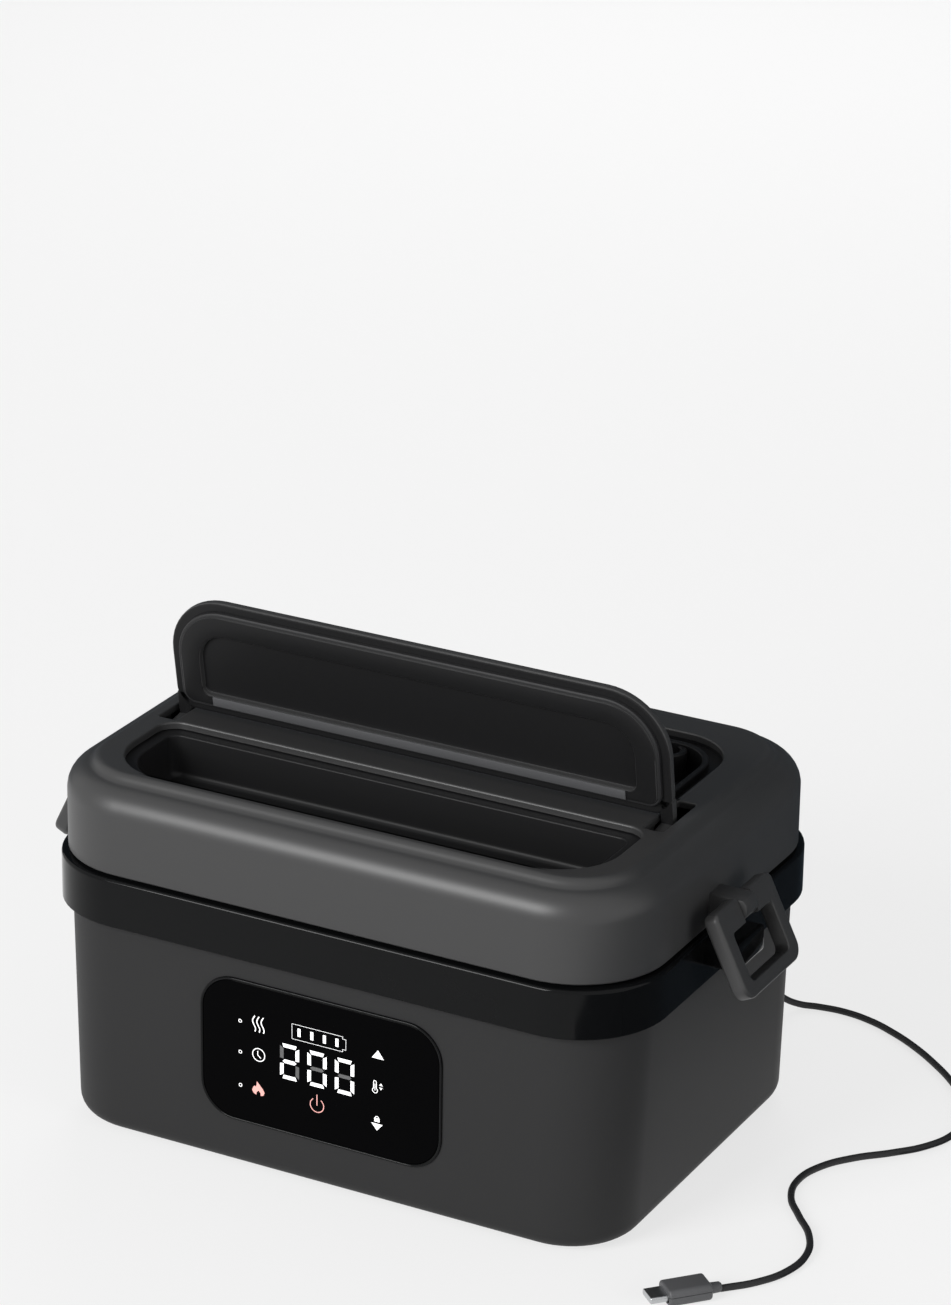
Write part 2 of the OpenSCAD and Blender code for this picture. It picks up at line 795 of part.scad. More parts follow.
// Arm from the lid's side to the latch's pivot
module latch_knuckle(side) {
    x0 = lid_w / 2 - 1.2;
    z = loop_axis[1];
    translate([0, loop_y, 0])
        union() {
            translate([side * (x0 + loop_axis[0]) / 2, 0, z])
                cube([loop_axis[0] - x0, knuckle_w, 2 * loop_top], center = true);
            translate([side * loop_axis[0], knuckle_w / 2, z])
                rotate([90, 0, 0])
                    cylinder(r = knuckle_r, h = knuckle_w);
        }
}

module lid_shell() {
    r = lid_shoulder_r;
    mid = [r, lid_z + 22.3];
    step = lid_z + 32;
    color(matte_lid)
        difference() {
            union() {
                skin(rings(lid_o, concat(
                    [[14, lid_under_z], [12.4, lid_under_z], [9.6, mid.y + 8.2]],
                    bend(mid, r - wall, 110, 180),
                    [[wall, lid_z + 1.25], [0, lid_z]],
                    bend(mid, r, 180, 108, 6),
                    [[8, step + 0.2], [9.2, step + 1.2], [10.4, step + 2.6]],
                    [[11.8, lid_top_z], [14, lid_top_z]])));
                hinge_cheeks();
                latch_knuckle(1);
                latch_knuckle(-1);
                for (p = lid_screw_at)
                    rod(p, 6, liner_z + liner_t + 0.1, p.x == 0 ? mid.y + 8.2 : lid_under_z + 0.4);
            }
            slab(front_half_w, front_y0, front_y1, 24, 8, lid_under_z - 3, lid_top_z + 1);
            slab(rear_half_w, rear_y0, rear_y1, 6, 22, lid_under_z - 3, lid_top_z + 1);
            for (side = [-1, 1]) {
                translate([side * (slot_x0 + slot_x1) / 2, (slot_y0 + slot_y1) / 2, lid_top_z])
                    cube([slot_x1 - slot_x0, slot_y1 - slot_y0, 20], center = true);
                translate([side * 88, flap_axis[0], flap_axis[1]])
                    rotate([0, side * 90, 0])
                        cylinder(d = pin_d + 2 * fit_gap, h = 20);
                translate([side * loop_axis[0], loop_y + 15, loop_axis[1]])
                    rotate([90, 0, 0])
                        cylinder(d = pin_d + 2 * fit_gap, h = 30);
            }
            for (p = lid_screw_at)
                rod(p, 2.5, liner_z, liner_z + 14);
        }
}

module lid_liner() {
    z = liner_z;
    top = liner_z + liner_t;
    cap_r = valve_d / 2 + 3.7;
    dimple = 3.2;
    color(gloss_black)
        difference() {
            union() {
                skin(rings(lid_o, [[14, z], [7, z], [5.3, z - 0.5], [4.6, z - 2.2], [4.6, lid_z + 1.65],
                    [wall + 0.4, lid_z + 1.65], [wall + 0.4, top], [14, top]]));
                rod([0, 0], 2 * cap_r + 3.2, z, z + dimple + 1.2);
            }
            rod([0, 0], 2 * cap_r, z - 5, z + dimple);
            for (p = lid_screw_at)
                rod(p, 2.8, z - 2, top + 2);
        }
}

module lid_gasket() {
    z = deck_z + 0.35;
    color(rubber)
        skin(rings(lid_o, [[4.65, z], [4.65, z + 2.2], [5, z + 2.2], [5.4, z + 1], [5.4, z]]),
            capped = false);
}

module lid_screws() {
    color(steel)
        for (p = lid_screw_at)
            translate([p.x, p.y, 0])
                screw(liner_z, 11);
}

module front_compartment() {
    y0 = front_y0 + 4;
    y1 = front_y1 - 4.5;
    hx = front_half_w - 5;
    color(matte_lid)
        difference() {
            union() {
                slab(front_half_w + 2.4, front_y0 - 2.4, front_y1 + 2.4, 26, 10, ledge_z - insert_t, ledge_z);
                slab(hx + insert_t, y0 - insert_t, y1 + insert_t, 21, 6, front_floor_z - insert_t, ledge_z);
            }
            slab(hx, y0, y1, 19.4, 4.4, front_floor_z, ledge_z + 1);
            for (side = [-1, 1])
                translate([side * (slot_x0 + slot_x1) / 2, (slot_y0 + slot_y1) / 2, ledge_z])
                    cube([slot_x1 - slot_x0, slot_y1 - slot_y0 + 1, 20], center = true);
        }
}

module rear_compartment() {
    groove_z = lid_top_z - 4;
    lip_z = lid_top_z - 1.2;
    lip_w = 2.4;
    hx = rear_half_w - 4.5;
    y0 = rear_y0 + 5;
    y1 = rear_y1 - 5.5;
    post = [70, 47.5];
    color(matte_lid)
        union() {
            difference() {
                union() {
                    slab(rear_half_w + 2.2, rear_y0 - 2.2, rear_y1 + 2.2, 8, 24, groove_z - insert_t,
                        lid_under_z - 0.1);
                    slab(hx, y0, y1, 4, 18, rear_floor_z - insert_t, lip_z);
                }
                difference() {
                    slab(rear_half_w + 0.2, rear_y0 - 0.2, rear_y1 + 0.2, 6, 22, groove_z, lip_z + 1);
                    slab(hx, y0, y1, 4, 18, groove_z - 1, lip_z);
                }
                slab(hx - lip_w, y0 + lip_w, y1 - lip_w, 2, 15.6, rear_floor_z, lip_z + 1);
                for (side = [-1, 1])
                    translate([side * (slot_x0 + slot_x1) / 2, (slot_y0 + slot_y1) / 2, ledge_z])
                        cube([slot_x1 - slot_x0, slot_y1 - slot_y0, 20], center = true);
            }
            difference() {
                rod(post, 14, rear_floor_z - 0.5, lip_z - 1);
                rod(post, 9, rear_floor_z + 1, lip_z + 1);
            }
        }
}

module flap_pins() {
    color(steel)
        for (side = [-1, 1])
            translate([side * (slot_x0 - 3), flap_axis[0], flap_axis[1]])
                rotate([0, side * 90, 0])
                    cylinder(d = pin_d, h = slot_x1 - slot_x0 + 6.2);
}

module latch_pins() {
    l = loop_w - 10;
    color(steel)
        for (side = [-1, 1])
            translate([side * loop_axis[0], loop_y + l / 2, loop_axis[1]])
                rotate([90, 0, 0])
                    cylinder(d = pin_d, h = l);
}

// ---------------------------------------------------------------- flap

// Turns a closed flap piece to its open rest
module flap_at_rest() {
    translate([0, flap_axis[0], flap_axis[1]])
        rotate([-flap_open, 0, 0])
            translate([0, -flap_axis[0], -flap_axis[1]])
                children();
}

module flap_arm(side) {
    top = flap_z + flap_t;
    half = (arm_x1 - arm_x0) / 2;
    x = side * (arm_x0 + half);
    translate([x, 0, 0])
        difference() {
            union() {
                block([-half, flap_y1 - 6, flap_z], [half, flap_axis[0] + 2.8, top]);
                block([-half, flap_axis[0] - 2.8, flap_axis[1]], [half, flap_axis[0] + 2.8, flap_z + 1]);
                translate([-half, flap_axis[0], flap_axis[1]])
                    rotate([0, 90, 0])
                        cylinder(r = 2.8, h = 2 * half);
            }
            translate([-half - 1, flap_axis[0], flap_axis[1]])
                rotate([0, 90, 0])
                    cylinder(d = pin_d + 2 * fit_gap, h = 2 * half + 2);
        }
}

module flap() {
    frame_h = 2.2;
    color(matte_lid)
        flap_at_rest()
            union() {
                slab(flap_half_w, flap_y0, flap_y1, 24, 8.3, flap_z, flap_z + flap_t);
                difference() {
                    slab(96.2, flap_y0 + 4.8, flap_y1 - 4.8, 19.2, 4, flap_z - frame_h, flap_z + 1);
                    slab(88.2, flap_y0 + 12.8, flap_y1 - 8.8, 12, 3, flap_z - frame_h - 1, flap_z);
                }
                flap_arm(1);
                flap_arm(-1);
            }
}

module flap_seal() {
    color(rubber)
        flap_at_rest()
            difference() {
                slab(97.4, flap_y0 + 3.6, flap_y1 - 3.6, 20.4, 5, flap_z - 1.6, flap_z);
                slab(96.2, flap_y0 + 4.8, flap_y1 - 4.8, 19.2, 4, flap_z - 2.6, flap_z + 1);
            }
}

module flap_pad() {
    color(plastic_grey)
        flap_at_rest()
            block([-84, flap_y1 - 8.6, flap_z - 2.8], [84, flap_y1 - 5, flap_z - 2.2]);
}

// ---------------------------------------------------------------- latch loops

// Half of a loop's outline in its own plane, mirrored to make the whole
module loop_plate(inset) {
    half = loop_w / 2 - inset;
    low = loop_top - loop_h + inset;
    r = 6 - inset;
    polygon(concat(
        [for (i = [0:6]) [half - 3 + 3 * cos(15 * i), loop_top - inset - 3 + 3 * sin(15 * i)]],
        [for (i = [0:6]) [-half + 3 - 3 * sin(15 * i), loop_top - inset - 3 + 3 * cos(15 * i)]],
        [for (i = [0:6]) [-half + r - r * cos(15 * i), low + r - r * sin(15 * i)]],
        [for (i = [0:6]) [half - r + r * sin(15 * i), low + r - r * cos(15 * i)]]));
}

// The loop's plate from its wide middle to a face drawn in by the edge rounding
module loop_body() {
    edge = 1.2;
    union() {
        translate([0, 0, -loop_t / 2 + edge])
            linear_extrude(loop_t - 2 * edge)
                loop_plate(0);
        translate([0, 0, -loop_t / 2])
            linear_extrude(loop_t)
                loop_plate(edge);
    }
}

module latch_loop(side) {
    half_window = loop_w / 2 - loop_bar;
    gap = knuckle_w / 2 + 0.4;
    translate([side * loop_axis[0], loop_y, loop_axis[1]])
        rotate([0, -side * loop_out, 0])
            difference() {
                rotate([90, 0, 90])
                    loop_body();
                block([-9, -half_window, loop_window_bottom], [9, half_window, loop_window_top]);
                block([-9, -gap, loop_window_top - 1], [9, gap, loop_top + 1]);
                translate([0, loop_w / 2 - 4.7, 0])
                    rotate([90, 0, 0])
                        cylinder(d = pin_d + 2 * fit_gap, h = loop_w - 9.4);
            }
}

module latch_loop_left() {
    color(matte_lid)
        latch_loop(-1);
}

module latch_loop_right() {
    color(matte_lid)
        latch_loop(1);
}

// ---------------------------------------------------------------- cord

module usb_cord() {
    color(rubber)
        tube(cord_route, cord_d);
}

// Plug in the right-hand socket, with its strain relief
module cord_base_plug() {
    exit = cord_route[0];
    color(plastic_grey)
        translate([exit.x, exit.y, socket_z])
            rotate([90, 0, 0])
                union() {
                    plate(5.6, 3.3, 2.4, 7, 16);
                    plate(4.1, 1.2, 1.1, 23, exit.y - 23 - rear_wall_y + 1.4);
                    translate([0, exit.z - socket_z, 0])
                        cylinder(d = 4.4, h = 7.5);
                }
}

// Plug on the free end, lying on the table
module cord_free_plug() {
    last = cord_route[len(cord_route) - 1];
    way = heading(cord_route, len(cord_route) - 1);
    turn = atan2(way.y, way.x);
    color(plastic_grey)
        translate([last.x, last.y, 0])
            rotate([0, 0, turn])
                union() {
                    translate([0, 0, 2.2])
                        rotate([0, 90, 0])
                            cylinder(d = 4.2, h = 6);
                    block([5, -5.6, 0.1], [21, 5.6, 6.3]);
                    block([20, -4.1, 2], [27.4, 4.1, 4.4]);
                }
}

base_shell();
bottom_cover();
rubber_feet();
bottom_screws();
top_deck();
heating_pot();
pot_seal();
pot_screws();
heater_film();
heater_clamp_plate();
temperature_probe();
thermal_fuse();
insulation_wrap();
insulation_pad();
battery_cells();
battery_holder();
battery_strips();
control_board();
board_parts();
board_screws();
usb_sockets();
heater_lead();
display_lead();
display_board();
display_module();
display_screws();
panel_window();
panel_bezel();
food_tray();
inner_lid_panel();
inner_lid_gasket();
steam_valve();
lid_shell();
lid_liner();
lid_gasket();
lid_screws();
front_compartment();
rear_compartment();
flap_pins();
latch_pins();
flap();
flap_seal();
flap_pad();
latch_loop_left();
latch_loop_right();
usb_cord();
cord_base_plug();
cord_free_plug();
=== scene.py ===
import json
import math
from collections import namedtuple

import bmesh
import bpy
from mathutils import Matrix, Vector


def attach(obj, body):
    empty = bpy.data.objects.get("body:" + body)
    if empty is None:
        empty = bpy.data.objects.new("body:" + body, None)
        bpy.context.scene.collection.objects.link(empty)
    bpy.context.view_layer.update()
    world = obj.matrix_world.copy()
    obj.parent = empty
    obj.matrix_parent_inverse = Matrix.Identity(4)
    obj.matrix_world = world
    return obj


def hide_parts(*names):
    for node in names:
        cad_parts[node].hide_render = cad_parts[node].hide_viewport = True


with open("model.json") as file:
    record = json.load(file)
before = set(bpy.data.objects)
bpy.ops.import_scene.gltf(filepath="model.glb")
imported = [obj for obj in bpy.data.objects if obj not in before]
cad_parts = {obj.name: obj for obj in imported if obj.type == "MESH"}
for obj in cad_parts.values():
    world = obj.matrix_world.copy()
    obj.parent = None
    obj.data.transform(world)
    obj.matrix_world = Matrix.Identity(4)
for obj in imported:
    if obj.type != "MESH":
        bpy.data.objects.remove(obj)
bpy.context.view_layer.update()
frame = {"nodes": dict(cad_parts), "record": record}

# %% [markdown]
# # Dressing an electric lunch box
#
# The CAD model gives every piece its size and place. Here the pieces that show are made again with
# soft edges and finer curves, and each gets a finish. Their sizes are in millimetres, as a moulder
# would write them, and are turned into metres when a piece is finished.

cad_nodes = frame["nodes"]
MM = 0.001


def add_object(name, data):
    """Makes an object of some data and links it into the scene."""
    made = bpy.data.objects.new(name, data)
    bpy.context.scene.collection.objects.link(made)
    return made


def mesh_of(bm, name):
    """Turns a bmesh into a mesh, and frees it."""
    mesh = bpy.data.meshes.new(name)
    bm.to_mesh(mesh)
    bm.free()
    return mesh


print("CAD nodes:", len(cad_nodes))

# %% [markdown]
# ## The camera
#
# A product photograph is taken from far off with a long lens, so parallel edges stay nearly
# parallel. The camera is given by its place, the direction that it looks in and a small roll. Its
# three axes are worked out from the angles, because a matrix built from axes can't be misread the
# way three Euler angles can.

# %% Camera at the photograph's angle
camera_place = (738.88, -1367.89, 817.47)
focal_pixels, picture_height = 4705.5, 1305
azimuth, elevation, roll = (math.radians(a) for a in (27.8668, 22.3228, 0.8707))
back = Vector((math.sin(azimuth) * math.cos(elevation),
               -math.cos(azimuth) * math.cos(elevation), math.sin(elevation)))
level = (-back).cross(Vector((0, 0, 1))).normalized()
upward = level.cross(-back)
camera_x = math.cos(roll) * level + math.sin(roll) * upward
camera_y = math.cos(roll) * upward - math.sin(roll) * level

camera_data = bpy.data.cameras.new("camera")
camera_data.sensor_width = 36
camera_data.lens = 36 * focal_pixels / picture_height
camera_data.clip_end = 20
camera = add_object("camera", camera_data)
camera.matrix_world = Matrix.Translation(Vector(camera_place) * MM) @ Matrix(
    (camera_x, camera_y, back)).transposed().to_4x4()
bpy.context.scene.camera = camera
print("lens", round(camera_data.lens, 1), "mm, distance", round(camera.location.length, 3), "m")

# %% [markdown]
# ## The charging cord
#
# The cord leaves its plug at the back, drops to the table and lies in loose bends. A Bezier curve
# through the CAD route's own points is the simplest way to get a round, even cord: its handles are
# set to automatic, so that the bends are smooth. The bevel is 1 m deep and each point's radius
# shrinks it to the cord's own, because the curve's box is worked out from those radii.

# %% Cord along the route
cord_z, cord_radius = 1.4, 1.3
cord_route = [(78, 106, 23), (78, 112, 22.8), (78, 118, 21), (78.5, 123, 17), (80, 127, 11),
              (83, 131, 5.5), (88, 135, 2.2)]
cord_route += [(x, y, cord_z) for x, y in (
    (95, 138), (105, 139), (117, 137), (129, 132), (141, 125), (153, 116), (164, 106), (174, 94),
    (180, 81), (181, 67), (176, 54), (167, 43), (157, 33), (149, 21), (146, 8), (149, -5),
    (157, -16), (166, -27), (171, -40), (170, -54), (164, -66), (155, -76))]
cord_curve = bpy.data.curves.new("charging_cord", "CURVE")
cord_curve.dimensions = "3D"
cord_curve.bevel_depth = 1
cord_curve.bevel_resolution = 4
cord_curve.resolution_u = 6
cord_curve.use_fill_caps = True
spline = cord_curve.splines.new("BEZIER")
spline.bezier_points.add(len(cord_route) - 1)
for knot, spot in zip(spline.bezier_points, cord_route):
    knot.co = Vector(spot) * MM
    knot.radius = cord_radius * MM
    knot.handle_left_type = knot.handle_right_type = "AUTO"
charging_cord = add_object("charging_cord", cord_curve)

# %% [markdown]
# ## Floor, sky and lamps
#
# The box stands on a plain white ground. A white ground made with strong lamps would wash out the
# black plastic, so the ground is made white only for what the camera and the mirrors see. Light
# Path tells the shader which kind of ray asks. The main lamp stands low at the front left, so that
# the fronts are bright and the tops and the right side fall away, as they do in the photograph.

# %% Floor that keeps the shadow
def new_material(name):
    """A material, its emptied node tree, and the tree's output node."""
    material = bpy.data.materials.new(name)
    material.use_nodes = True
    tree = material.node_tree
    tree.nodes.clear()
    return material, tree, tree.nodes.new("ShaderNodeOutputMaterial")


def seen_rays(tree):
    """1 for camera, glossy and transmission rays, 0 for the rays that light the object."""
    path = tree.nodes.new("ShaderNodeLightPath")
    seen = path.outputs["Is Camera Ray"]
    for ray in ("Is Glossy Ray", "Is Transmission Ray"):
        either = tree.nodes.new("ShaderNodeMath")
        either.operation = "MAXIMUM"
        tree.links.new(seen, either.inputs[0])
        tree.links.new(path.outputs[ray], either.inputs[1])
        seen = either.outputs[0]
    return seen


def mix_shaders(tree, factor, first, second, output):
    """Lets a factor choose between two shaders, on their way to the output."""
    mix = tree.nodes.new("ShaderNodeMixShader")
    for source, socket in zip((factor, first.outputs[0], second.outputs[0]), mix.inputs):
        tree.links.new(source, socket)
    tree.links.new(mix.outputs[0], output.inputs["Surface"])


floor_size, floor_glow = 6, 0.72
floor_paint, tree, output = new_material("studio_floor")
diffuse = tree.nodes.new("ShaderNodeBsdfDiffuse")
diffuse.inputs["Color"].default_value = (0.8, 0.8, 0.8, 1)
glow = tree.nodes.new("ShaderNodeEmission")
share = tree.nodes.new("ShaderNodeMath")
share.operation = "MULTIPLY"
share.inputs[1].default_value = floor_glow
tree.links.new(seen_rays(tree), share.inputs[0])
mix_shaders(tree, share.outputs[0], diffuse, glow, output)

bm = bmesh.new()
bmesh.ops.create_grid(bm, x_segments=1, y_segments=1, size=floor_size)
floor = add_object("floor", mesh_of(bm, "floor"))
floor.data.materials.append(floor_paint)
print("floor", floor.dimensions[:2])

# %% World and lamps
world = bpy.data.worlds.new("studio")
bpy.context.scene.world = world
world.use_nodes = True
tree = world.node_tree
tree.nodes.clear()
output = tree.nodes.new("ShaderNodeOutputWorld")
lighting = tree.nodes.new("ShaderNodeBackground")
lighting.inputs["Strength"].default_value = 0.38
backdrop = tree.nodes.new("ShaderNodeBackground")
backdrop.inputs["Strength"].default_value = 1.0
mix_shaders(tree, seen_rays(tree), lighting, backdrop, output)


def soft_lamp(name, place, size, watts, mirrored=True):
    """A square lamp in metres that looks at the middle of the box, and may leave no reflection."""
    data = bpy.data.lights.new(name, "AREA")
    data.size = size
    data.energy = watts
    lamp = add_object(name, data)
    lamp.location = place
    lamp.rotation_euler = (Vector((0, 0, 0.12)) - lamp.location).to_track_quat("-Z", "Y").to_euler()
    lamp.visible_glossy = mirrored


soft_lamp("key_lamp", (-0.7, -1.85, 1.05), 1.0, 38)
soft_lamp("side_lamp", (1.6, -0.4, 0.4), 0.8, 9, mirrored=False)
soft_lamp("back_lamp", (-0.6, 1.6, 1.0), 1.0, 11, mirrored=False)
bpy.context.scene.view_settings.view_transform = "Standard"

# %% [markdown]
# Polished steel and black gloss only show what is round them, and an all-white room makes them
# flat. A photographer stands dark cards beside them. These cards do the same: they exist for glossy
# rays and are clear for all others, so they cast no shadow and never cover the object.

# %% Dark cards for the mirrors
card_paint, tree, output = new_material("dark_card")
clear = tree.nodes.new("ShaderNodeBsdfTransparent")
dark = tree.nodes.new("ShaderNodeEmission")
dark.inputs["Color"].default_value = (0.03, 0.042, 0.055, 1)
path = tree.nodes.new("ShaderNodeLightPath")
mix_shaders(tree, path.outputs["Is Glossy Ray"], clear, dark, output)


def dark_card(name, corners):
    """A flat card through some corners in metres."""
    bm = bmesh.new()
    bm.faces.new([bm.verts.new(c) for c in corners])
    card = add_object(name, mesh_of(bm, name))
    card.data.materials.append(card_paint)


dark_card("side_card", [(x, y, 0.001) for x, y in (
    (0.17, -0.25), (2.5, -0.25), (2.5, 3), (-2.5, 3), (-2.5, 0.2), (0.17, 0.2))])
dark_card("back_card", [(-3, 1.2, 0), (3, 1.2, 0), (3, 1.2, 4), (-3, 1.2, 4)])

# %% [markdown]
# ## Finishes
#
# Every finish is a Principled shader whose grain comes from noise on Object coordinates, so it
# stays in place when a lid lifts. Moulded plastic has a fine spark-eroded grain, which is a small
# bump and a small change of roughness. One helper makes the shader and its noise, and each finish
# only says how strong they are.

# %% A finish with grain
def finish(name, color, roughness, grain, depth, mottle=0.08, stretch=(1, 1, 1), shine=0.5,
           **sockets):
    """Principled finish: grain is noise per metre, depth its bump in metres, shine the specular."""
    material, tree, output = new_material(name)
    nodes, links = tree.nodes, tree.links
    shader = nodes.new("ShaderNodeBsdfPrincipled")
    links.new(shader.outputs[0], output.inputs["Surface"])
    where = nodes.new("ShaderNodeTexCoord")
    turn = nodes.new("ShaderNodeMapping")
    turn.inputs["Scale"].default_value = stretch
    links.new(where.outputs["Object"], turn.inputs["Vector"])
    noise = nodes.new("ShaderNodeTexNoise")
    noise.inputs["Scale"].default_value = grain
    noise.inputs["Detail"].default_value = 3
    links.new(turn.outputs[0], noise.inputs["Vector"])
    bump = nodes.new("ShaderNodeBump")
    bump.inputs["Strength"].default_value = 0.6
    bump.inputs["Distance"].default_value = depth
    links.new(noise.outputs["Fac"], bump.inputs["Height"])
    links.new(bump.outputs[0], shader.inputs["Normal"])
    spread = nodes.new("ShaderNodeMapRange")
    spread.inputs["To Min"].default_value = roughness * 0.85
    spread.inputs["To Max"].default_value = roughness * 1.15
    links.new(noise.outputs["Fac"], spread.inputs["Value"])
    links.new(spread.outputs[0], shader.inputs["Roughness"])
    tint = nodes.new("ShaderNodeMix")
    tint.data_type = "RGBA"
    tint.inputs["A"].default_value = (*(c * (1 - mottle) for c in color), 1)
    tint.inputs["B"].default_value = (*(c * (1 + mottle) for c in color), 1)
    links.new(noise.outputs["Fac"], tint.inputs["Factor"])
    links.new(tint.outputs["Result"], shader.inputs["Base Color"])
    shader.inputs["Specular IOR Level"].default_value = shine
    for socket, value in sockets.items():
        shader.inputs[socket.replace("_", " ")].default_value = value
    return material


matte_body = finish("matte_body", (0.03, 0.03, 0.0305), 0.5, 5200, 3e-5, shine=0.1)
matte_lid = finish("matte_lid", (0.037, 0.037, 0.0375), 0.4, 5200, 3e-5, shine=0.5)
# Painted shade: a darker copy of the lid's plastic, for the compartment dishes and the open flap's
# forward-facing side.
satin_painted_shade = finish("satin_painted_shade", (0.012, 0.012, 0.0125), 0.38, 5200, 2e-5, shine=0.15)
gloss_black = finish("gloss_black", (0.004, 0.0042, 0.0045), 0.1, 60, 2e-6, shine=0.13)
panel_glass = finish("panel_glass", (0.0012, 0.0012, 0.0014), 0.06, 40, 1e-6, shine=0.02)
steel = finish("polished_steel", (0.62, 0.63, 0.64), 0.1, 900, 1.5e-7, 0.03, (1, 1, 0.05),
               Metallic=1.0)
brushed_steel = finish("brushed_steel", (0.64, 0.645, 0.65), 0.24, 900, 3e-7, 0.04, (1, 1, 0.04),
                       Metallic=0.9)
# Painted shade: a dark, rough steel for the groove in the tray's wall.
groove_painted_shade = finish("groove_painted_shade", (0.035, 0.037, 0.04), 0.4, 900, 1e-6, Metallic=0.6)
print("finishes so far:", [m.name for m in bpy.data.materials])

# %% [markdown]
# The clear parts need light to pass through them. The inner lid is smoky and lets shapes show
# through, which a low transmission roughness and a brown-grey colour give. The valve is silicone
# rubber and sits in the shade of the lid. A weak glow of its own is painted light that brings it up
# to its colour, and its side wall is a paler copy with a stronger painted glow.
# The record names a slot for each node's finish, and the table by_slot says which one fills it.

# %% Clear, rubber and small-part finishes
smoke = finish("smoky_plastic", (0.60, 0.556, 0.537), 0.16, 300, 4e-7, 0.02,
               Transmission_Weight=0.2, IOR=1.47)
# Painted shade: a darker copy of the smoky plastic, without transmission, for the outer half of the
# inner lid's rim.
smoke_painted_shade = finish("smoky_painted_shade", (0.085, 0.072, 0.066), 0.1, 300, 4e-7, 0.02, IOR=1.47)
silicone = finish("clear_silicone", (0.62, 0.59, 0.56), 0.4, 900, 4e-6, 0.03,
                  Transmission_Weight=0.35)
# Painted light: the valve's emission glow, and below it the paler side finish with a stronger glow.
valve_orange = finish("valve_orange", (0.97, 0.31, 0.085), 0.4, 1600, 1e-5, 0.04, shine=0.3,
                      Emission_Color=(1, 0.3, 0.08, 1), Emission_Strength=0.2)
valve_side_painted_glow = finish("valve_side_painted_glow", (0.97, 0.60, 0.44), 0.4, 1600, 1e-5, 0.04, shine=0.3,
                    Emission_Color=(1, 0.55, 0.38, 1), Emission_Strength=0.3)
rubber = finish("black_rubber", (0.012, 0.012, 0.013), 0.6, 2600, 2e-5)
small_steel = finish("plated_steel", (0.55, 0.56, 0.57), 0.3, 1500, 4e-6, 0.05, Metallic=1.0)
board_green = finish("solder_mask", (0.02, 0.11, 0.05), 0.3, 700, 1e-5, 0.2)
dark_plastic = finish("dark_plastic", (0.085, 0.086, 0.09), 0.5, 3000, 2e-5)
cell_sleeve = finish("cell_sleeve", (0.05, 0.16, 0.38), 0.3, 500, 6e-6)
heater_amber = finish("heater_film", (0.55, 0.24, 0.07), 0.35, 400, 1e-5)
felt = finish("insulation_felt", (0.68, 0.68, 0.65), 0.9, 1400, 2e-4, 0.12)
wire_red = finish("wire_red", (0.50, 0.04, 0.03), 0.45, 1800, 1e-5)
lit_white = finish("lit_white", (0.9, 0.9, 0.9), 0.4, 2000, 1e-6, 0.02,
                   Emission_Color=(1, 1, 1, 1), Emission_Strength=0.75)
lit_pink = finish("lit_pink", (0.82, 0.42, 0.38), 0.4, 2000, 1e-6, 0.02,
                  Emission_Color=(1, 0.46, 0.42, 1), Emission_Strength=0.3)
unlit = finish("unlit_segment", (0.12, 0.12, 0.12), 0.4, 2000, 1e-6, 0.02)
by_slot = {
    "matte_body": matte_body, "matte_lid": matte_lid, "gloss_black": gloss_black,
    "panel_glass": panel_glass, "steel": steel, "smoke": smoke, "valve_orange": valve_orange,
    "clear_silicone": silicone, "rubber_black": rubber, "small_steel": small_steel,
    "board_green": board_green, "dark_plastic": dark_plastic, "cell_wrap": cell_sleeve,
    "heater_film": heater_amber, "insulation": felt, "wire_red": wire_red}
print("finishes:", len(bpy.data.materials), "for", len(by_slot), "slots")

# %% [markdown]
# ## Outlines and shells
#
# Nearly every part of the box is the same idea: a rounded rectangle seen from above, carried up
# through a profile. So the box needs an outline, a way to draw it in by a few millimetres, and a
# way to lay rings of it on top of each other. A circle from create_circle gives the first ring,
# each next one is extruded from the last, and its corners are moved to their spots.

# %% Outline of a rounded rectangle
Outline = namedtuple("Outline", "hx y0 y1 r0 r1 bow cx", defaults=((0, 0), 0))
CORNER_STEPS, SIDE_CUTS, CAP_INSET = 14, 8, 0.4


def spot_list():
    """Where the points of a ring sit: a direction out of a corner, and how far along a side."""
    spots = []
    for quarter, (sx, sy, tx, ty) in enumerate(
            [(1, 1, -1, 1), (-1, 1, -1, -1), (-1, -1, 1, -1), (1, -1, 1, 1)]):
        for step in range(CORNER_STEPS + 1):
            a = math.pi / 2 * (quarter + step / CORNER_STEPS)
            spots.append((math.cos(a), math.sin(a), sx, sy))
        for cut in range(1, SIDE_CUTS):
            t = cut / SIDE_CUTS
            a = math.pi / 2 * (quarter + 1)
            spots.append((math.cos(a), math.sin(a), sx + t * (tx - sx), sy + t * (ty - sy)))
    return spots


SPOTS = spot_list()


def spot_xy(o, spot):
    """The place of a spot on an outline, with its sides bowed in towards the corners."""
    ux, uy, sx, sy = spot
    r = o.r0 if sy < 0 else o.r1
    x = sx * (o.hx - r) + r * ux if abs(uy) > 0.5 or abs(sy) == 1 else ux * o.hx
    y = o.y0 + o.r0 + (o.y1 - o.r1 - o.y0 - o.r0) * (sy + 1) / 2 + r * uy
    half, middle = (o.y1 - o.y0) / 2, (o.y1 + o.y0) / 2
    pull_x = o.bow[0] * ((y - middle) / half) ** 2
    pull_y = o.bow[1] * (x / o.hx) ** 2
    return o.cx + x - math.copysign(pull_x, x), y - math.copysign(pull_y, y - middle)


def even(hx, hy, r, bow=(0, 0)):
    """An outline that is the same front and back."""
    return Outline(hx, -hy, hy, r, r, bow)


def inset(o, d):
    """The same outline drawn in by d, or out where d is below 0."""
    return o._replace(hx=o.hx - d, y0=o.y0 + d, y1=o.y1 - d, r0=max(o.r0 - d, 0.5),
                      r1=max(o.r1 - d, 0.5))


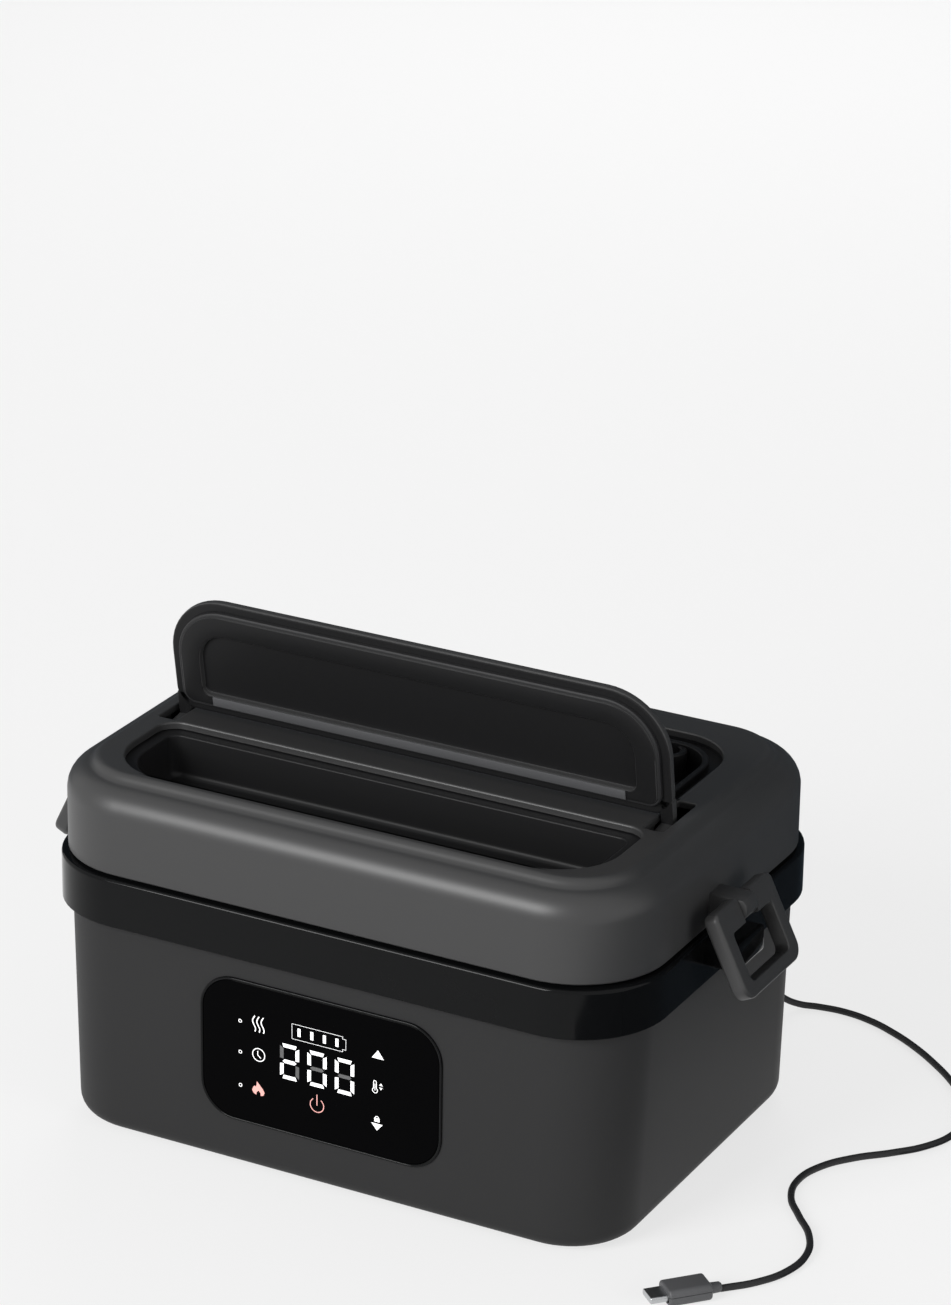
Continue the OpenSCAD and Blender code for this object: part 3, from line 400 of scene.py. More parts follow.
print("points in a ring:", len(SPOTS))

# %% Rings, and shells made of them
def arc(c, z, r, a0, a1, steps=6):
    """Points about (c, z), anticlockwise from +X. In a profile 180 degrees points outwards."""
    turns = [math.radians(a0 + (a1 - a0) * i / steps) for i in range(steps + 1)]
    return [(c + r * math.cos(a), z + r * math.sin(a)) for a in turns]


def rings(o, profile):
    """An outline at each (inset, height) of a profile."""
    return [(inset(o, d), z) for d, z in profile]


def between(low, high, steps):
    """Rings that pass evenly from one (outline, height) to another, both ends left out."""
    (a, za), (b, zb) = low, high
    made = []
    for i in range(1, steps):
        t = i / steps
        numbers = [p + t * (q - p) for p, q in zip(a[:5], b[:5])]
        bow = tuple(p + t * (q - p) for p, q in zip(a.bow, b.bow))
        made.append((Outline(*numbers, bow, a.cx), za + t * (zb - za)))
    return made


def place(loop, o, z):
    """Moves a ring's points to an outline at a height."""
    for vert, spot in zip(loop, SPOTS):
        vert.co = (*spot_xy(o, spot), z)


def around(loop):
    """The edges that join a ring's points."""
    ring = set(loop)
    return list({e for v in loop for e in v.link_edges if e.other_vert(v) in ring})


def lift(bm, loop):
    """Extrudes a ring, and returns the new one in the same order."""
    fresh = {g for g in bmesh.ops.extrude_edge_only(bm, edges=around(loop))["geom"]
             if isinstance(g, bmesh.types.BMVert)}
    return [next(e.other_vert(v) for e in v.link_edges if e.other_vert(v) in fresh) for v in loop]


def sleeve(bm, stack):
    """A skin through a stack of (outline, height), open at both ends."""
    first = loop = bmesh.ops.create_circle(bm, segments=len(SPOTS), radius=1)["verts"]
    place(loop, *stack[0])
    for o, z in stack[1:]:
        loop = lift(bm, loop)
        place(loop, o, z)
    return first, loop


def cap(bm, loop, o, z):
    """Fills a ring with one flat face, a little inside it so that the edge shades cleanly."""
    loop = lift(bm, loop)
    place(loop, inset(o, CAP_INSET), z)
    bmesh.ops.contextual_create(bm, geom=around(loop))


def solid(bm, stack):
    """A skin through a stack, closed at both ends."""
    first, last = sleeve(bm, stack)
    cap(bm, first, *stack[0])
    cap(bm, last, *stack[-1])


def hoop(bm, stack):
    """A closed ring: the last outline is joined to the first."""
    first, last = sleeve(bm, stack)
    bmesh.ops.bridge_loops(bm, edges=around(first) + around(last))


print("a profile arc:", [tuple(round(v, 2) for v in p) for p in arc(1, 1, 1, 180, 90, 2)])

# %% [markdown]
# A piece is finished in one place: its normals are made to point outwards, its size goes from
# millimetres to metres in the mesh, and it is shaded smooth except at real edges. It then rides on
# its body, stands for the CAD nodes that it covers and names its slot, which brings the finish
# unless the piece has one of its own. It can also get a second finish on some of its faces, such as
# the painted shade in the steel tray's groove.

# %% Finishing a piece
def settle(bm, name, slot, body, *nodes, own=None, sharp=38):
    """Turns a bmesh in millimetres into a piece of the box."""
    bmesh.ops.recalc_face_normals(bm, faces=bm.faces)
    bmesh.ops.scale(bm, vec=(MM, MM, MM), verts=bm.verts)
    mesh = mesh_of(bm, name)
    mesh.shade_smooth()
    mesh.set_sharp_from_angle(angle=math.radians(sharp))
    mesh.materials.append(own or by_slot[slot])
    piece = add_object(name, mesh)
    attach(piece, body)
    if nodes:
        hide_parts(*nodes)
    print(name, len(mesh.polygons), "faces")
    return piece


def carve(bm, tool):
    """Cuts one bmesh out of another with a Boolean modifier, and returns what is left."""
    parts = []
    for source in (bm, tool):
        bmesh.ops.recalc_face_normals(source, faces=source.faces)
        parts.append(add_object("carving", mesh_of(source, "carving")))
    cut = parts[0].modifiers.new("cut", "BOOLEAN")
    cut.operation = "DIFFERENCE"
    cut.solver = "EXACT"
    cut.object = parts[1]
    graph = bpy.context.evaluated_depsgraph_get()
    left = bmesh.new()
    left.from_mesh(parts[0].evaluated_get(graph).data)
    for part in parts:
        mesh = part.data
        bpy.data.objects.remove(part)
        bpy.data.meshes.remove(mesh)
    return left


def moved(bm, matrix, verts=None):
    """Moves and turns a bmesh, or only some of its points."""
    bmesh.ops.transform(bm, matrix=matrix, verts=verts or bm.verts)
    return bm


def dress(piece, material, choose):
    """Gives a second finish to the faces that choose picks, by their middle in millimetres."""
    piece.data.materials.append(material)
    chosen = [face for face in piece.data.polygons if choose(face.center / MM, face.normal)]
    for face in chosen:
        face.material_index = len(piece.data.materials) - 1
    print(piece.name, len(chosen), "faces in", material.name)


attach(charging_cord, "base")
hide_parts("usb_cord")
cord_curve.materials.append(rubber)
print("cord rides on the base")

# %% [markdown]
# ## The base
#
# The base is one moulding: a rounded bottom edge, walls that lean out, and a neck that goes up
# inside the glossy collar. It is hollow, so the profile runs up the outside and down the inside.
# Two small openings at the back let the charging sockets through. A Boolean is the quick way to
# cut them, because they lie in a flat part of the wall.

# %% Base moulding
collar = even(120, 87, 34)
neck = even(115.9, 82.9, 29.5)
foot_outline = even(113.5, 82.8, 27.5)
wall, edge_r, edge_z = 2.4, 7, 8
cover_in, foot_h = 10.6, 1
neck_base, neck_top = 86.3, 102.3

bm = bmesh.new()
outside = rings(foot_outline, [(cover_in, foot_h)] + arc(edge_r, edge_z, edge_r, 270, 180, 8))
outside += between(outside[-1], (neck, neck_base), 5)
inside = rings(neck, [(wall, neck_base)]) + rings(
    foot_outline, arc(edge_r, edge_z, edge_r - wall, 180, 270, 4) + [(cover_in, foot_h + wall)])
hoop(bm, outside + rings(neck, [(0, neck_base), (0, neck_top), (wall, neck_top)]) + inside)

spare_socket_x, cord_socket_x, socket_z = 56, 78, 23.7
socket_hole = even(5.1, 2.2, 2.1)
openings = bmesh.new()
for x in (spare_socket_x, cord_socket_x):
    before = set(openings.verts)
    solid(openings, [(socket_hole, -6), (socket_hole, 6)])
    at_wall = Matrix.Translation((x, foot_outline.y1, socket_z))
    moved(openings, at_wall @ Matrix.Rotation(math.pi / 2, 4, "X"),
          [v for v in openings.verts if v not in before])
bm = carve(bm, openings)
settle(bm, "base_moulding", "matte_body", "base", "base_shell")

# %% [markdown]
# The collar and deck are a second, glossy moulding. The profile climbs the collar, steps in to the
# flat deck, rolls over into the well and ends at the step that the tray hangs above. The blocks at
# the sides are the catches for the latches. A cube with bevelled edges is enough for one.

# %% Collar, deck and catches
def soften(bm, edges, radius, segments=2):
    """Rounds some edges."""
    bmesh.ops.bevel(bm, geom=edges, offset=radius, segments=segments, profile=0.5,
                    affect="EDGES", material=-1)


def block_between(bm, low, high, radius, segments=2):
    """Adds a box between two corners, with its edges rounded."""
    size = Vector(high) - Vector(low)
    cube = bmesh.ops.create_cube(bm, size=1)["verts"]
    bmesh.ops.scale(bm, vec=size, verts=cube)
    moved(bm, Matrix.Translation(Vector(low) + size / 2), cube)
    soften(bm, list({e for v in cube for e in v.link_edges}), radius, segments)


plateau = even(114, 82.2, 27.5)
well = even(102.2, 71.6, 33)
collar_top, deck_z, deck_under, step_z = 104.9, 107, 104.5, 89.4
catch_x, latch_y, catch_z = 125, -12.7, 99

bm = bmesh.new()
hoop(bm, rings(collar, [(0.4, neck_base), (0, neck_base + 0.4), (0, 94), (0, collar_top - 1.2)]
               + arc(1.2, collar_top - 1.2, 1.2, 180, 90, 4))
     + rings(plateau, [(-0.3, 105.1), (0, 105.4)] + arc(0.6, deck_z - 0.6, 0.6, 180, 90, 4)
             + [(2, deck_z)])
     + rings(well, [(-2, deck_z)] + arc(-1.2, deck_z - 1.2, 1.2, 90, 0, 6)
             + [(0, 98), (0, step_z + 1)] + arc(1, step_z + 1, 1, 180, 270, 4)[1:]
             + [(2, step_z), (2, step_z - 1.2), (-wall, step_z - 1.2), (-wall, deck_under)])
     + rings(plateau, [(1.5, deck_under)]) + rings(collar, [(3.7, 102.5), (3.7, neck_base)]))
for side in (-1, 1):
    block_between(bm, (side * catch_x - 8, latch_y - 11.5, catch_z - 5),
                  (side * catch_x + 8, latch_y + 11.5, catch_z + 5), 1.3, 5)
settle(bm, "collar_and_deck", "gloss_black", "base", "top_deck")

# %% [markdown]
# Under the deck hangs the heated pot. Only its inside shows once the tray is out, but it is made
# as a real dish with a wall, so that it looks right from any side.

# %% Heated pot
pot_top = even(100.2, 69.6, 31)
pot_foot = even(96.6, 62.9, 27)
pot_floor, pot_r, sheet, flange_z = 52, 6, 1.2, 85.6
bm = bmesh.new()
outer = rings(pot_foot, arc(pot_r, pot_floor + pot_r, pot_r + sheet, 270, 180, 6))
inner = rings(pot_foot, arc(pot_r, pot_floor + pot_r, pot_r, 180, 270, 8))
high = rings(pot_top, [(-sheet, flange_z), (-9.3, flange_z), (-9.3, flange_z + sheet),
                       (0, flange_z + sheet)])
solid(bm, outer + between(outer[-1], high[0], 4) + high + between(high[-1], inner[0], 5) + inner)
settle(bm, "heated_pot", "gloss_black", "base", "heating_pot")

# %% [markdown]
# ## The control panel
#
# The panel is a black window in a thin frame, set in the front wall. The wall leans out by a
# fraction of a degree, so everything on the panel is drawn flat and then turned onto the wall with
# one matrix. Window and frame are shells with small rounded edges.

# %% Window and frame
panel_z = 48.5
lean = math.atan((neck.y1 - foot_outline.y1) / (neck_base - edge_z))
panel_y = -(foot_outline.y1 + math.tan(lean) * (panel_z - edge_z))
ON_PANEL = Matrix.Translation((0, panel_y, panel_z)) @ Matrix.Rotation(math.pi / 2 + lean, 4, "X")

window = even(48.05, 27.25, 13)
WINDOW_Z, PANEL_BACK = 0.5, -1.5
bm = bmesh.new()
solid(bm, rings(window, [(0, PANEL_BACK), (0, WINDOW_Z - 0.4)]
                + arc(0.4, WINDOW_Z - 0.4, 0.4, 180, 90, 3)))
settle(moved(bm, ON_PANEL), "panel_window", "panel_glass", "base", "panel_window")

frame_outline = even(49.1, 28.3, 14)
bm = bmesh.new()
hoop(bm, rings(frame_outline, [(0, PANEL_BACK), (0, 0.3)] + arc(0.5, 0.4, 0.5, 180, 0, 6)
               + [(1.03, 0.3), (1.03, PANEL_BACK)]))
settle(moved(bm, ON_PANEL), "panel_frame", "gloss_black", "base", "panel_bezel")

# %% [markdown]
# The symbols are lit. Lines are drawn as curves with a round bevel, made into a mesh and pressed
# flat, which gives even strokes round any bend. Filled shapes start from a few points, which become
# one face that is extruded by a hair. All of them stand a little proud of the window, so that they
# never flicker against it.

# %% Strokes and filled shapes
FACE_Z, HAIR = WINDOW_Z + 0.01, 0.06


def push_out(bm, face, way):
    """Extrudes a face and moves its new end."""
    fresh = bmesh.ops.extrude_face_region(bm, geom=[face])["geom"]
    bmesh.ops.translate(bm, vec=way, verts=[g for g in fresh if isinstance(g, bmesh.types.BMVert)])


def stroke(bm, points, width, closed=False):
    """Adds a flat line through points on the panel, in millimetres."""
    curve = bpy.data.curves.new("line", "CURVE")
    curve.dimensions = "3D"
    curve.bevel_depth = width / 2
    curve.bevel_resolution = 1
    curve.use_fill_caps = True
    line = curve.splines.new("POLY")
    line.points.add(len(points) - 1)
    for knot, (x, y) in zip(line.points, points):
        knot.co = (x, y, 0, 1)
    line.use_cyclic_u = closed
    holder = bpy.data.objects.new("line", curve)
    mesh = bpy.data.meshes.new_from_object(holder)
    before = set(bm.verts)
    bm.from_mesh(mesh)
    fresh = [v for v in bm.verts if v not in before]
    bmesh.ops.scale(bm, vec=(1, 1, HAIR / width), verts=fresh)
    bmesh.ops.translate(bm, vec=(0, 0, FACE_Z), verts=fresh)
    bpy.data.objects.remove(holder)
    bpy.data.curves.remove(curve)
    bpy.data.meshes.remove(mesh)


def filled(bm, points):
    """Adds a filled shape with the given corners, in millimetres."""
    corners = [bm.verts.new((x, y, FACE_Z - HAIR / 2)) for x, y in points]
    push_out(bm, bm.faces.new(corners), (0, 0, HAIR))


print("symbols stand", round(FACE_Z + HAIR / 2 - WINDOW_Z, 3), "mm proud of the window")

# %% [markdown]
# The read-out is a seven segment display. Each segment is a bar with slanted ends, long side
# outwards. The lit ones read two, nought and nought, and the unlit ones stay faintly grey.

# %% Read-out
DIGIT_W, DIGIT_H, BAR, GAP = 7.8, 13.9, 1.45, 0.5


def segment_points(name):
    """Corners of one segment, measured from the digit's middle."""
    w, h, b, g = DIGIT_W / 2, DIGIT_H / 2, BAR, GAP
    if name in "ad":
        s = 1 if name == "a" else -1
        return [(-w + 2 * g, s * h), (w - 2 * g, s * h), (w - b, s * (h - b)),
                (-w + b, s * (h - b))]
    if name == "g":
        return [(-w + b * 0.75, 0), (-w + b + 0.5, b / 2), (w - b - 0.5, b / 2), (w - b * 0.75, 0),
                (w - b - 0.5, -b / 2), (-w + b + 0.5, -b / 2)]
    sx = 1 if name in "bc" else -1
    sy = 1 if name in "bf" else -1
    return [(sx * w, sy * (h - 2 * g)), (sx * w, sy * 2.2 * g),
            (sx * (w - b), sy * (b * 0.62)), (sx * (w - b), sy * (h - b - g))]


lit, dim = bmesh.new(), bmesh.new()
for x, on in ((-12.3, "abged"), (-1.1, "abcdef"), (10.1, "abcdef")):
    for name in "abcdefg":
        filled(lit if name in on else dim, [(px + x, py + 0.5) for px, py in segment_points(name)])
print("lit segment faces:", len(lit.faces), "unlit:", len(dim.faces))

# %% [markdown]
# Above the read-out is the battery gauge, and on the left are steam, a clock and their lamps. On
# the right are the arrows, a thermometer and a lock.

# %% White symbols
def wave(x, y):
    """One curl of steam."""
    return [(x + 0.6 * math.sin(2 * math.pi * t / 20 + 0.6), y + 6.2 * (t / 20 - 0.5))
            for t in range(21)]


for dx in (-1.75, 0.0, 1.75):
    stroke(lit, wave(-25.1 + dx, 12.3), 0.42)
stroke(lit, arc(-25.0, 0.2, 2.5, 0, 360, 24)[:-1], 0.32, closed=True)
stroke(lit, [(-25.4, 1.7), (-25.4, 0.1), (-24.1, -1.0)], 0.34)
for y in (11.9, -0.4, -13.7):
    stroke(lit, arc(-32.6, y, 0.6, 0, 360, 14)[:-1], 0.26, closed=True)

gauge = [(-11.3, 10.2), (-11.3, 16.1), (9.3, 16.1), (9.3, 15.2), (10.6, 15.2), (10.6, 11.1),
         (9.3, 11.1), (9.3, 10.2)]
stroke(lit, gauge, 0.2, closed=True)
for x in (-8.4, -3.2, 1.9, 7.0):
    filled(lit, [(x - 0.6, 11.6), (x + 0.6, 11.6), (x + 0.6, 14.8), (x - 0.6, 14.8)])

filled(lit, [(21.1, 11.1), (25.9, 11.1), (23.5, 14.4)])
filled(lit, [(21.0, -14.6), (25.6, -14.6), (23.3, -17.3)])
filled(lit, [(22.2, -13.9), (24.3, -13.9), (24.3, -12.4), (22.2, -12.4)])
stroke(lit, arc(23.25, -12.4, 0.66, 0, 180, 8), 0.26)
bulb = arc(22.4, -1.6, 1.0, 125, 415, 18)
stroke(lit, [(21.85, 1.7)] + bulb + [(22.95, 1.7)] + arc(22.4, 1.7, 0.55, 0, 180, 6), 0.28)
stroke(lit, [(22.4, 1.0), (22.4, -1.6)], 0.28)
filled(lit, [(24.1, 0.7), (25.5, 0.7), (24.8, 1.7)])
filled(lit, [(24.1, 0.0), (25.5, 0.0), (24.8, -1.0)])
settle(moved(lit, ON_PANEL), "panel_symbols", "panel_glass", "base", own=lit_white)
settle(moved(dim, ON_PANEL), "unlit_segments", "panel_glass", "base", own=unlit)

# %% Pink symbols: flame and power
pink = bmesh.new()
flame = [(-0.5, 2.9), (0.6, 1.4), (1.5, 0.2), (2.1, -1.2), (1.7, -2.4), (0.8, -2.75), (0.75, -1.7),
         (0.1, -0.75), (-0.6, -1.7), (-0.7, -2.7), (-1.6, -2.2), (-2.1, -1.1), (-1.7, 0.3),
         (-1.2, 0.9), (-0.9, 0.5), (-0.6, 1.3)]
filled(pink, [(-25.2 + 1.22 * x, -13.3 + 0.98 * y) for x, y in flame])
stroke(pink, arc(-1.1, -13.7, 2.75, -235, 55, 30), 0.34)
stroke(pink, [(-1.1, -9.5), (-1.1, -13.8)], 0.38)
settle(moved(pink, ON_PANEL), "pink_symbols", "panel_glass", "base", own=lit_pink)

# %% [markdown]
# ## The food tray
#
# The tray is pressed from thin stainless sheet. Its rim is rolled under at the edge, and two beads
# run round it, which catch the light as bright lines. A groove a little below the rim keeps the
# inner lid's seal in place. A spline through the few points of a bead makes it round.

# %% A profile made round
def rounded(points, steps=3):
    """Catmull-Rom points through a profile, which keep its first and last point."""
    ends = [points[0]] + list(points) + [points[-1]]
    made = []
    for a, b, c, d in zip(ends, ends[1:], ends[2:], ends[3:]):
        for i in range(steps):
            t = i / steps
            made.append(tuple(
                0.5 * (2 * q + (r - p) * t + (2 * p - 5 * q + 4 * r - s) * t * t
                       + (3 * q - p - 3 * r + s) * t ** 3) for p, q, r, s in zip(a, b, c, d)))
    return made + [points[-1]]


bead = rounded([(2.4, 1.7), (3.4, 2.2), (4.6, 2.3), (6, 1.9), (7, 3.4), (8.2, 3.6), (9.2, 3.1)])
print("bead points:", len(bead))

# %% Food tray
tray_rim = even(112.5, 78.6, 25, (10.8, 4.2))
tray_band = even(101.2, 68.9, 28.5, (6.2, 4))
tray_waist = even(98.2, 65.8, 23, (4.4, 3.8))
tray_foot = even(92, 60, 15, (1.5, 3))
groove_z, rim_z, tray_sheet, tray_floor, foot_r, waist_z = 94, 107.3, 0.8, 53, 4, 75

bm = bmesh.new()
outer = rings(tray_foot, arc(foot_r, tray_floor + foot_r, foot_r, 270, 180, 6))
outer += between(outer[-1], (tray_waist, waist_z), 3) + [(tray_waist, waist_z)]
outer += between(outer[-1], (inset(tray_band, 1.2), groove_z - 0.6), 3)
outer += rings(tray_band, [(1.2, groove_z - 0.6), (1.2, groove_z), (0, groove_z + 0.6)]
               + [(0, rim_z - 1.0), (-0.2, rim_z - 0.4), (-0.7, rim_z)])
rim = rings(tray_rim, [(5, rim_z)] + arc(1, rim_z + 1, 1, 270, 90, 8)
            + [(d, rim_z + h) for d, h in bead])
inner = rings(tray_band, [(0.3, rim_z + 2.1), (tray_sheet, rim_z + 1.2), (tray_sheet, rim_z - 4),
                          (tray_sheet, groove_z + 0.8), (2, groove_z + 0.1), (2, groove_z - 0.8)])
inside_waist = (inset(tray_waist, tray_sheet), waist_z)
inner += between(inner[-1], inside_waist, 3) + [inside_waist]
foot = rings(tray_foot, arc(foot_r, tray_floor + foot_r, foot_r - tray_sheet, 180, 270, 6))
solid(bm, outer + rim + inner + between(inner[-1], foot[0], 3) + foot)
food_tray = settle(bm, "steel_food_tray", "steel", "tray", "food_tray", sharp=50)
dress(food_tray, brushed_steel,
      lambda at, normal: at.z < rim_z - 0.5 and normal.xy.dot(at.xy) > 0)
# Painted shade in the groove below the tray's rim.
dress(food_tray, groove_painted_shade, lambda at, normal: abs(at.z - groove_z) < 0.65)

# %% [markdown]
# ## The inner lid and its valve
#
# The inner lid is a flat smoky plate with a raised rim. Its sides are bowed, so its corners look
# soft. The plate has a round hole for the valve, so its flat faces are filled between the outline
# and a circle, which triangle_fill does for any set of loops.

# %% Loops of another shape
ROUND_STEPS = 48


def circle_ring(bm, cx, cy, r, z):
    """Adds a round ring, and returns its points."""
    loop = bmesh.ops.create_circle(bm, segments=ROUND_STEPS, radius=r)["verts"]
    bmesh.ops.translate(bm, vec=(cx, cy, z), verts=loop)
    return loop


def raise_ring(bm, loop, z, scale=1.0):
    """Extrudes a round ring to a height, and widens or narrows it about its own middle."""
    middle = sum((v.co for v in loop), Vector()) / len(loop)
    new = lift(bm, loop)
    for v in new:
        v.co = Vector((middle.x + (v.co.x - middle.x) * scale,
                       middle.y + (v.co.y - middle.y) * scale, z))
    return new


def fill_between(bm, *loops):
    """Fills the flat area between an outer loop and the loops inside it."""
    edges = [e for loop in loops for e in around(loop)]
    bmesh.ops.triangle_fill(bm, edges=edges, use_beauty=True, normal=(0, 0, 1))


print("points in a round ring:", ROUND_STEPS)

# %% Inner lid
seal_lid = even(109.5, 76.5, 25, (7.4, 4))
skirt_z, plate_under, plate_z = 110.0, 111.2, 112.4
bm = bmesh.new()
first, last = sleeve(bm, rings(
    seal_lid, [(14, plate_under), (7, plate_under), (2.5, plate_under), (2.2, skirt_z + 0.3),
               (1.9, skirt_z), (0.6, skirt_z)] + arc(0.5, skirt_z + 0.5, 0.5, 270, 180, 3)
    + [(0, 112.2)] + arc(0.8, 113.7, 0.8, 180, 90, 4) + arc(1.5, 113.6, 0.9, 90, 10, 4)
    + [(2.6, 112.9), (3.1, plate_z), (3.6, plate_z), (14, plate_z)]))
mid_rim = [Vector(spot_xy(inset(seal_lid, 1.2), spot)) for spot in SPOTS]


def beyond_mid_rim(at):
    """True for a place outside the line half way across the rim."""
    near = min(mid_rim, key=lambda p: (p - at.xy).length)
    return at.xy.length > near.length


hole = circle_ring(bm, 0, 0, 6, plate_under)
hole_top = raise_ring(bm, hole, plate_z)
fill_between(bm, first, hole)
fill_between(bm, last, hole_top)
inner_lid = settle(bm, "smoky_inner_lid", "smoke", "inner_lid", "inner_lid_panel")
# Painted shade on the faces of the rim's outer half that do not face up.
dress(inner_lid, smoke_painted_shade, lambda at, normal: beyond_mid_rim(at) and normal.z < 0.5)

bm = bmesh.new()
hoop(bm, rings(tray_band, [(2.4, 107.2), (1.4, 108.8), (1.4, plate_under), (4, plate_under),
                           (4, 107.2)]))
settle(bm, "inner_lid_seal", "clear_silicone", "inner_lid", "inner_lid_gasket")

# %% [markdown]
# The valve's cap is turned, so its half profile is spun about the middle. A broad thumb scoop is
# cut in its top with a shallow bowl, whose own middle lies beyond the cap's edge.

# %% Steam valve
def turned(profile, steps):
    """Spins a half profile of (radius, height) about Z and closes it."""
    bm = bmesh.new()
    chain = [bm.verts.new((r, 0, z)) for r, z in profile]
    for a, b in zip(chain, chain[1:]):
        bm.edges.new((a, b))
    bmesh.ops.spin(bm, geom=bm.verts[:] + bm.edges[:], cent=(0, 0, 0), axis=(0, 0, 1),
                   angle=2 * math.pi, steps=steps, use_merge=True)
    bmesh.ops.remove_doubles(bm, verts=bm.verts, dist=0.001)
    return bm


cap_r, cap_low, cap_top = 20.25, 112.7, 116.2
stem_r, barb_r, stem_low = 5.95, 7.2, 105.2
dish_z = cap_top - 0.5
profile = [(0, stem_low), (stem_r, stem_low), (barb_r, 106.4), (barb_r, 107.2), (stem_r, 107.2),
           (stem_r, cap_low), (cap_r - 0.7, cap_low), (cap_r - 0.2, cap_low + 0.2),
           (cap_r, cap_low + 0.7)]
profile += [(cap_r - d, z) for d, z in arc(0.55, cap_top - 0.55, 0.55, 180, 60, 5)]
profile += [(cap_r - 1.25, cap_top - 0.1), (cap_r - 1.9, dish_z), (cap_r - 4, dish_z), (0, dish_z)]
bm = turned(profile, 96)
scoop_r, scoop_half = 160, 22.6
scoop_low = dish_z + math.sqrt(scoop_r ** 2 - scoop_half ** 2) - scoop_r
bowl = [(r, scoop_low + scoop_r - math.sqrt(scoop_r ** 2 - r ** 2)) for r in range(0, 29, 2)]
scoop = turned(bowl + [(28, cap_top + 4), (0, cap_top + 4)], 96)
bm = carve(bm, moved(scoop, Matrix.Translation((24.9, 1.8, 0))))
steam_valve = settle(bm, "steam_valve_cap", "valve_orange", "valve", "steam_valve", sharp=30)
# Painted light: the valve's side wall gets the paler copy with the stronger glow.
dress(steam_valve, valve_side_painted_glow,
      lambda at, normal: at.xy.length > cap_r - 0.4 and abs(normal.z) < 0.6)

# %% [markdown]
# ## The outer lid
#
# The outer lid is a shell with a broad shoulder, and its top is pierced by two compartments and by
# the two slots for the flap's arms. The shell's inside and outside are one sleeve, and each hole is
# a short sleeve of its own with a rounded rim. The flat top and its underside are then filled
# between all these loops.

# %% Outer lid shell
lid = even(118.4, 85.4, 34.7)
lid_low, lid_top, lid_under = 105.95, 141.15, 138.55
shoulder_r, shoulder_z = 10, 128.25
front_hole = Outline(98, -71, -24.5, 24, 8)
rear_hole = Outline(94.5, -2, 59.5, 6, 22)
slots = [Outline(3.7, -23.5, 3.5, 1, 1, (0, 0), side * 98.9) for side in (-1, 1)]

bm = bmesh.new()
first, last = sleeve(bm, rings(
    lid, [(14, lid_under), (12.4, lid_under), (9.6, 136.45)]
    + arc(shoulder_r, shoulder_z, shoulder_r - wall, 110, 180, 6)
    + [(wall, 107.2), (0.5, lid_low), (0, 106.5), (0, 117)]
    + arc(shoulder_r, shoulder_z, shoulder_r, 180, 106, 12)
    + rounded([(8, 138.05), (9.2, 138.85), (10.4, 140.2), (11.8, 141.0), (13.2, lid_top)])
    + [(14.2, lid_top)]))
tops, unders = [last], [first]
for hole in (front_hole, rear_hole, *slots):
    low, high = sleeve(bm, rings(hole, [(0, lid_under), (0, lid_top - 0.7)]
                                 + arc(-0.7, lid_top - 0.7, 0.7, 0, 90, 4) + [(-1.2, lid_top)]))
    unders.append(low)
    tops.append(high)
fill_between(bm, *tops)
fill_between(bm, *unders)
print("lid top loops:", len(tops))

# %% [markdown]
# An arm stands out from each side of the lid to carry a latch. It is a block with a round end,
# which is easiest as a few points in the side view, pushed out to its width and bevelled.

# %% Latch arms and hinge ears
def side_view(bm, points, width, middle, axis, radius):
    """Pushes a side view out to a width along X or Y, and rounds the edges of its two ends."""
    old = set(bm.verts)
    start = middle - width / 2
    if axis == "X":
        corners, way = [(start, u, w) for u, w in points], (width, 0, 0)
    else:
        corners, way = [(u, start, w) for u, w in points], (0, width, 0)
    push_out(bm, bm.faces.new([bm.verts.new(corner) for corner in corners]), way)
    fresh = [v for v in bm.verts if v not in old]
    rim = [e for e in {e for v in fresh for e in v.link_edges}
           if len(e.link_faces) == 2 and any(len(f.verts) == len(points) for f in e.link_faces)]
    soften(bm, rim, radius)


pivot_x, pivot_z = 128, 115
for side in (-1, 1):
    tip = [(side * x, z) for x, z in arc(pivot_x, pivot_z, 5, 51, -51, 10)]
    back_end = [(side * 116.8, pivot_z - 3.9), (side * 116.8, pivot_z + 3.9)]
    side_view(bm, back_end + tip, 9.6, latch_y, "Y", 0.5)
    for x in (93.9, 104.1):
        block_between(bm, (side * x - 1.1, -21.8, 131.2), (side * x + 1.1, -13.8, 139), 0.3)
settle(bm, "outer_lid", "matte_lid", "lid", "lid_shell")

# %% [markdown]
# The two compartments are dishes that hang in the lid's openings. Each is drawn from the bottom of
# its outside, up and over its ledge or lip, and down to its floor.

# %% Front compartment
pocket = Outline(93, -67, -29, 19.4, 4.4)
flange = Outline(99, -72, -23.7, 25, 8.8)
ledge_z, ledge_under, front_floor, dish_t = 138.15, 136.55, 122, 1.6
bm = bmesh.new()
solid(bm, rings(pocket, [(-dish_t, front_floor - dish_t), (-dish_t, ledge_under)])
      + rings(flange, [(0, ledge_under), (0, ledge_z)])
      + rings(pocket, [(-1.2, ledge_z), (-0.7, ledge_z)]
              + arc(-0.7, ledge_z - 0.7, 0.7, 90, 0, 4)[1:] + [(0, 130), (0.2, front_floor + 2.5)]
              + arc(2.7, front_floor + 2.5, 2.5, 180, 270, 5)[1:]))
# Painted shade: the front dish gets a darker copy of the lid's plastic.
settle(bm, "front_dish", "matte_lid", "lid", "front_compartment", own=satin_painted_shade)

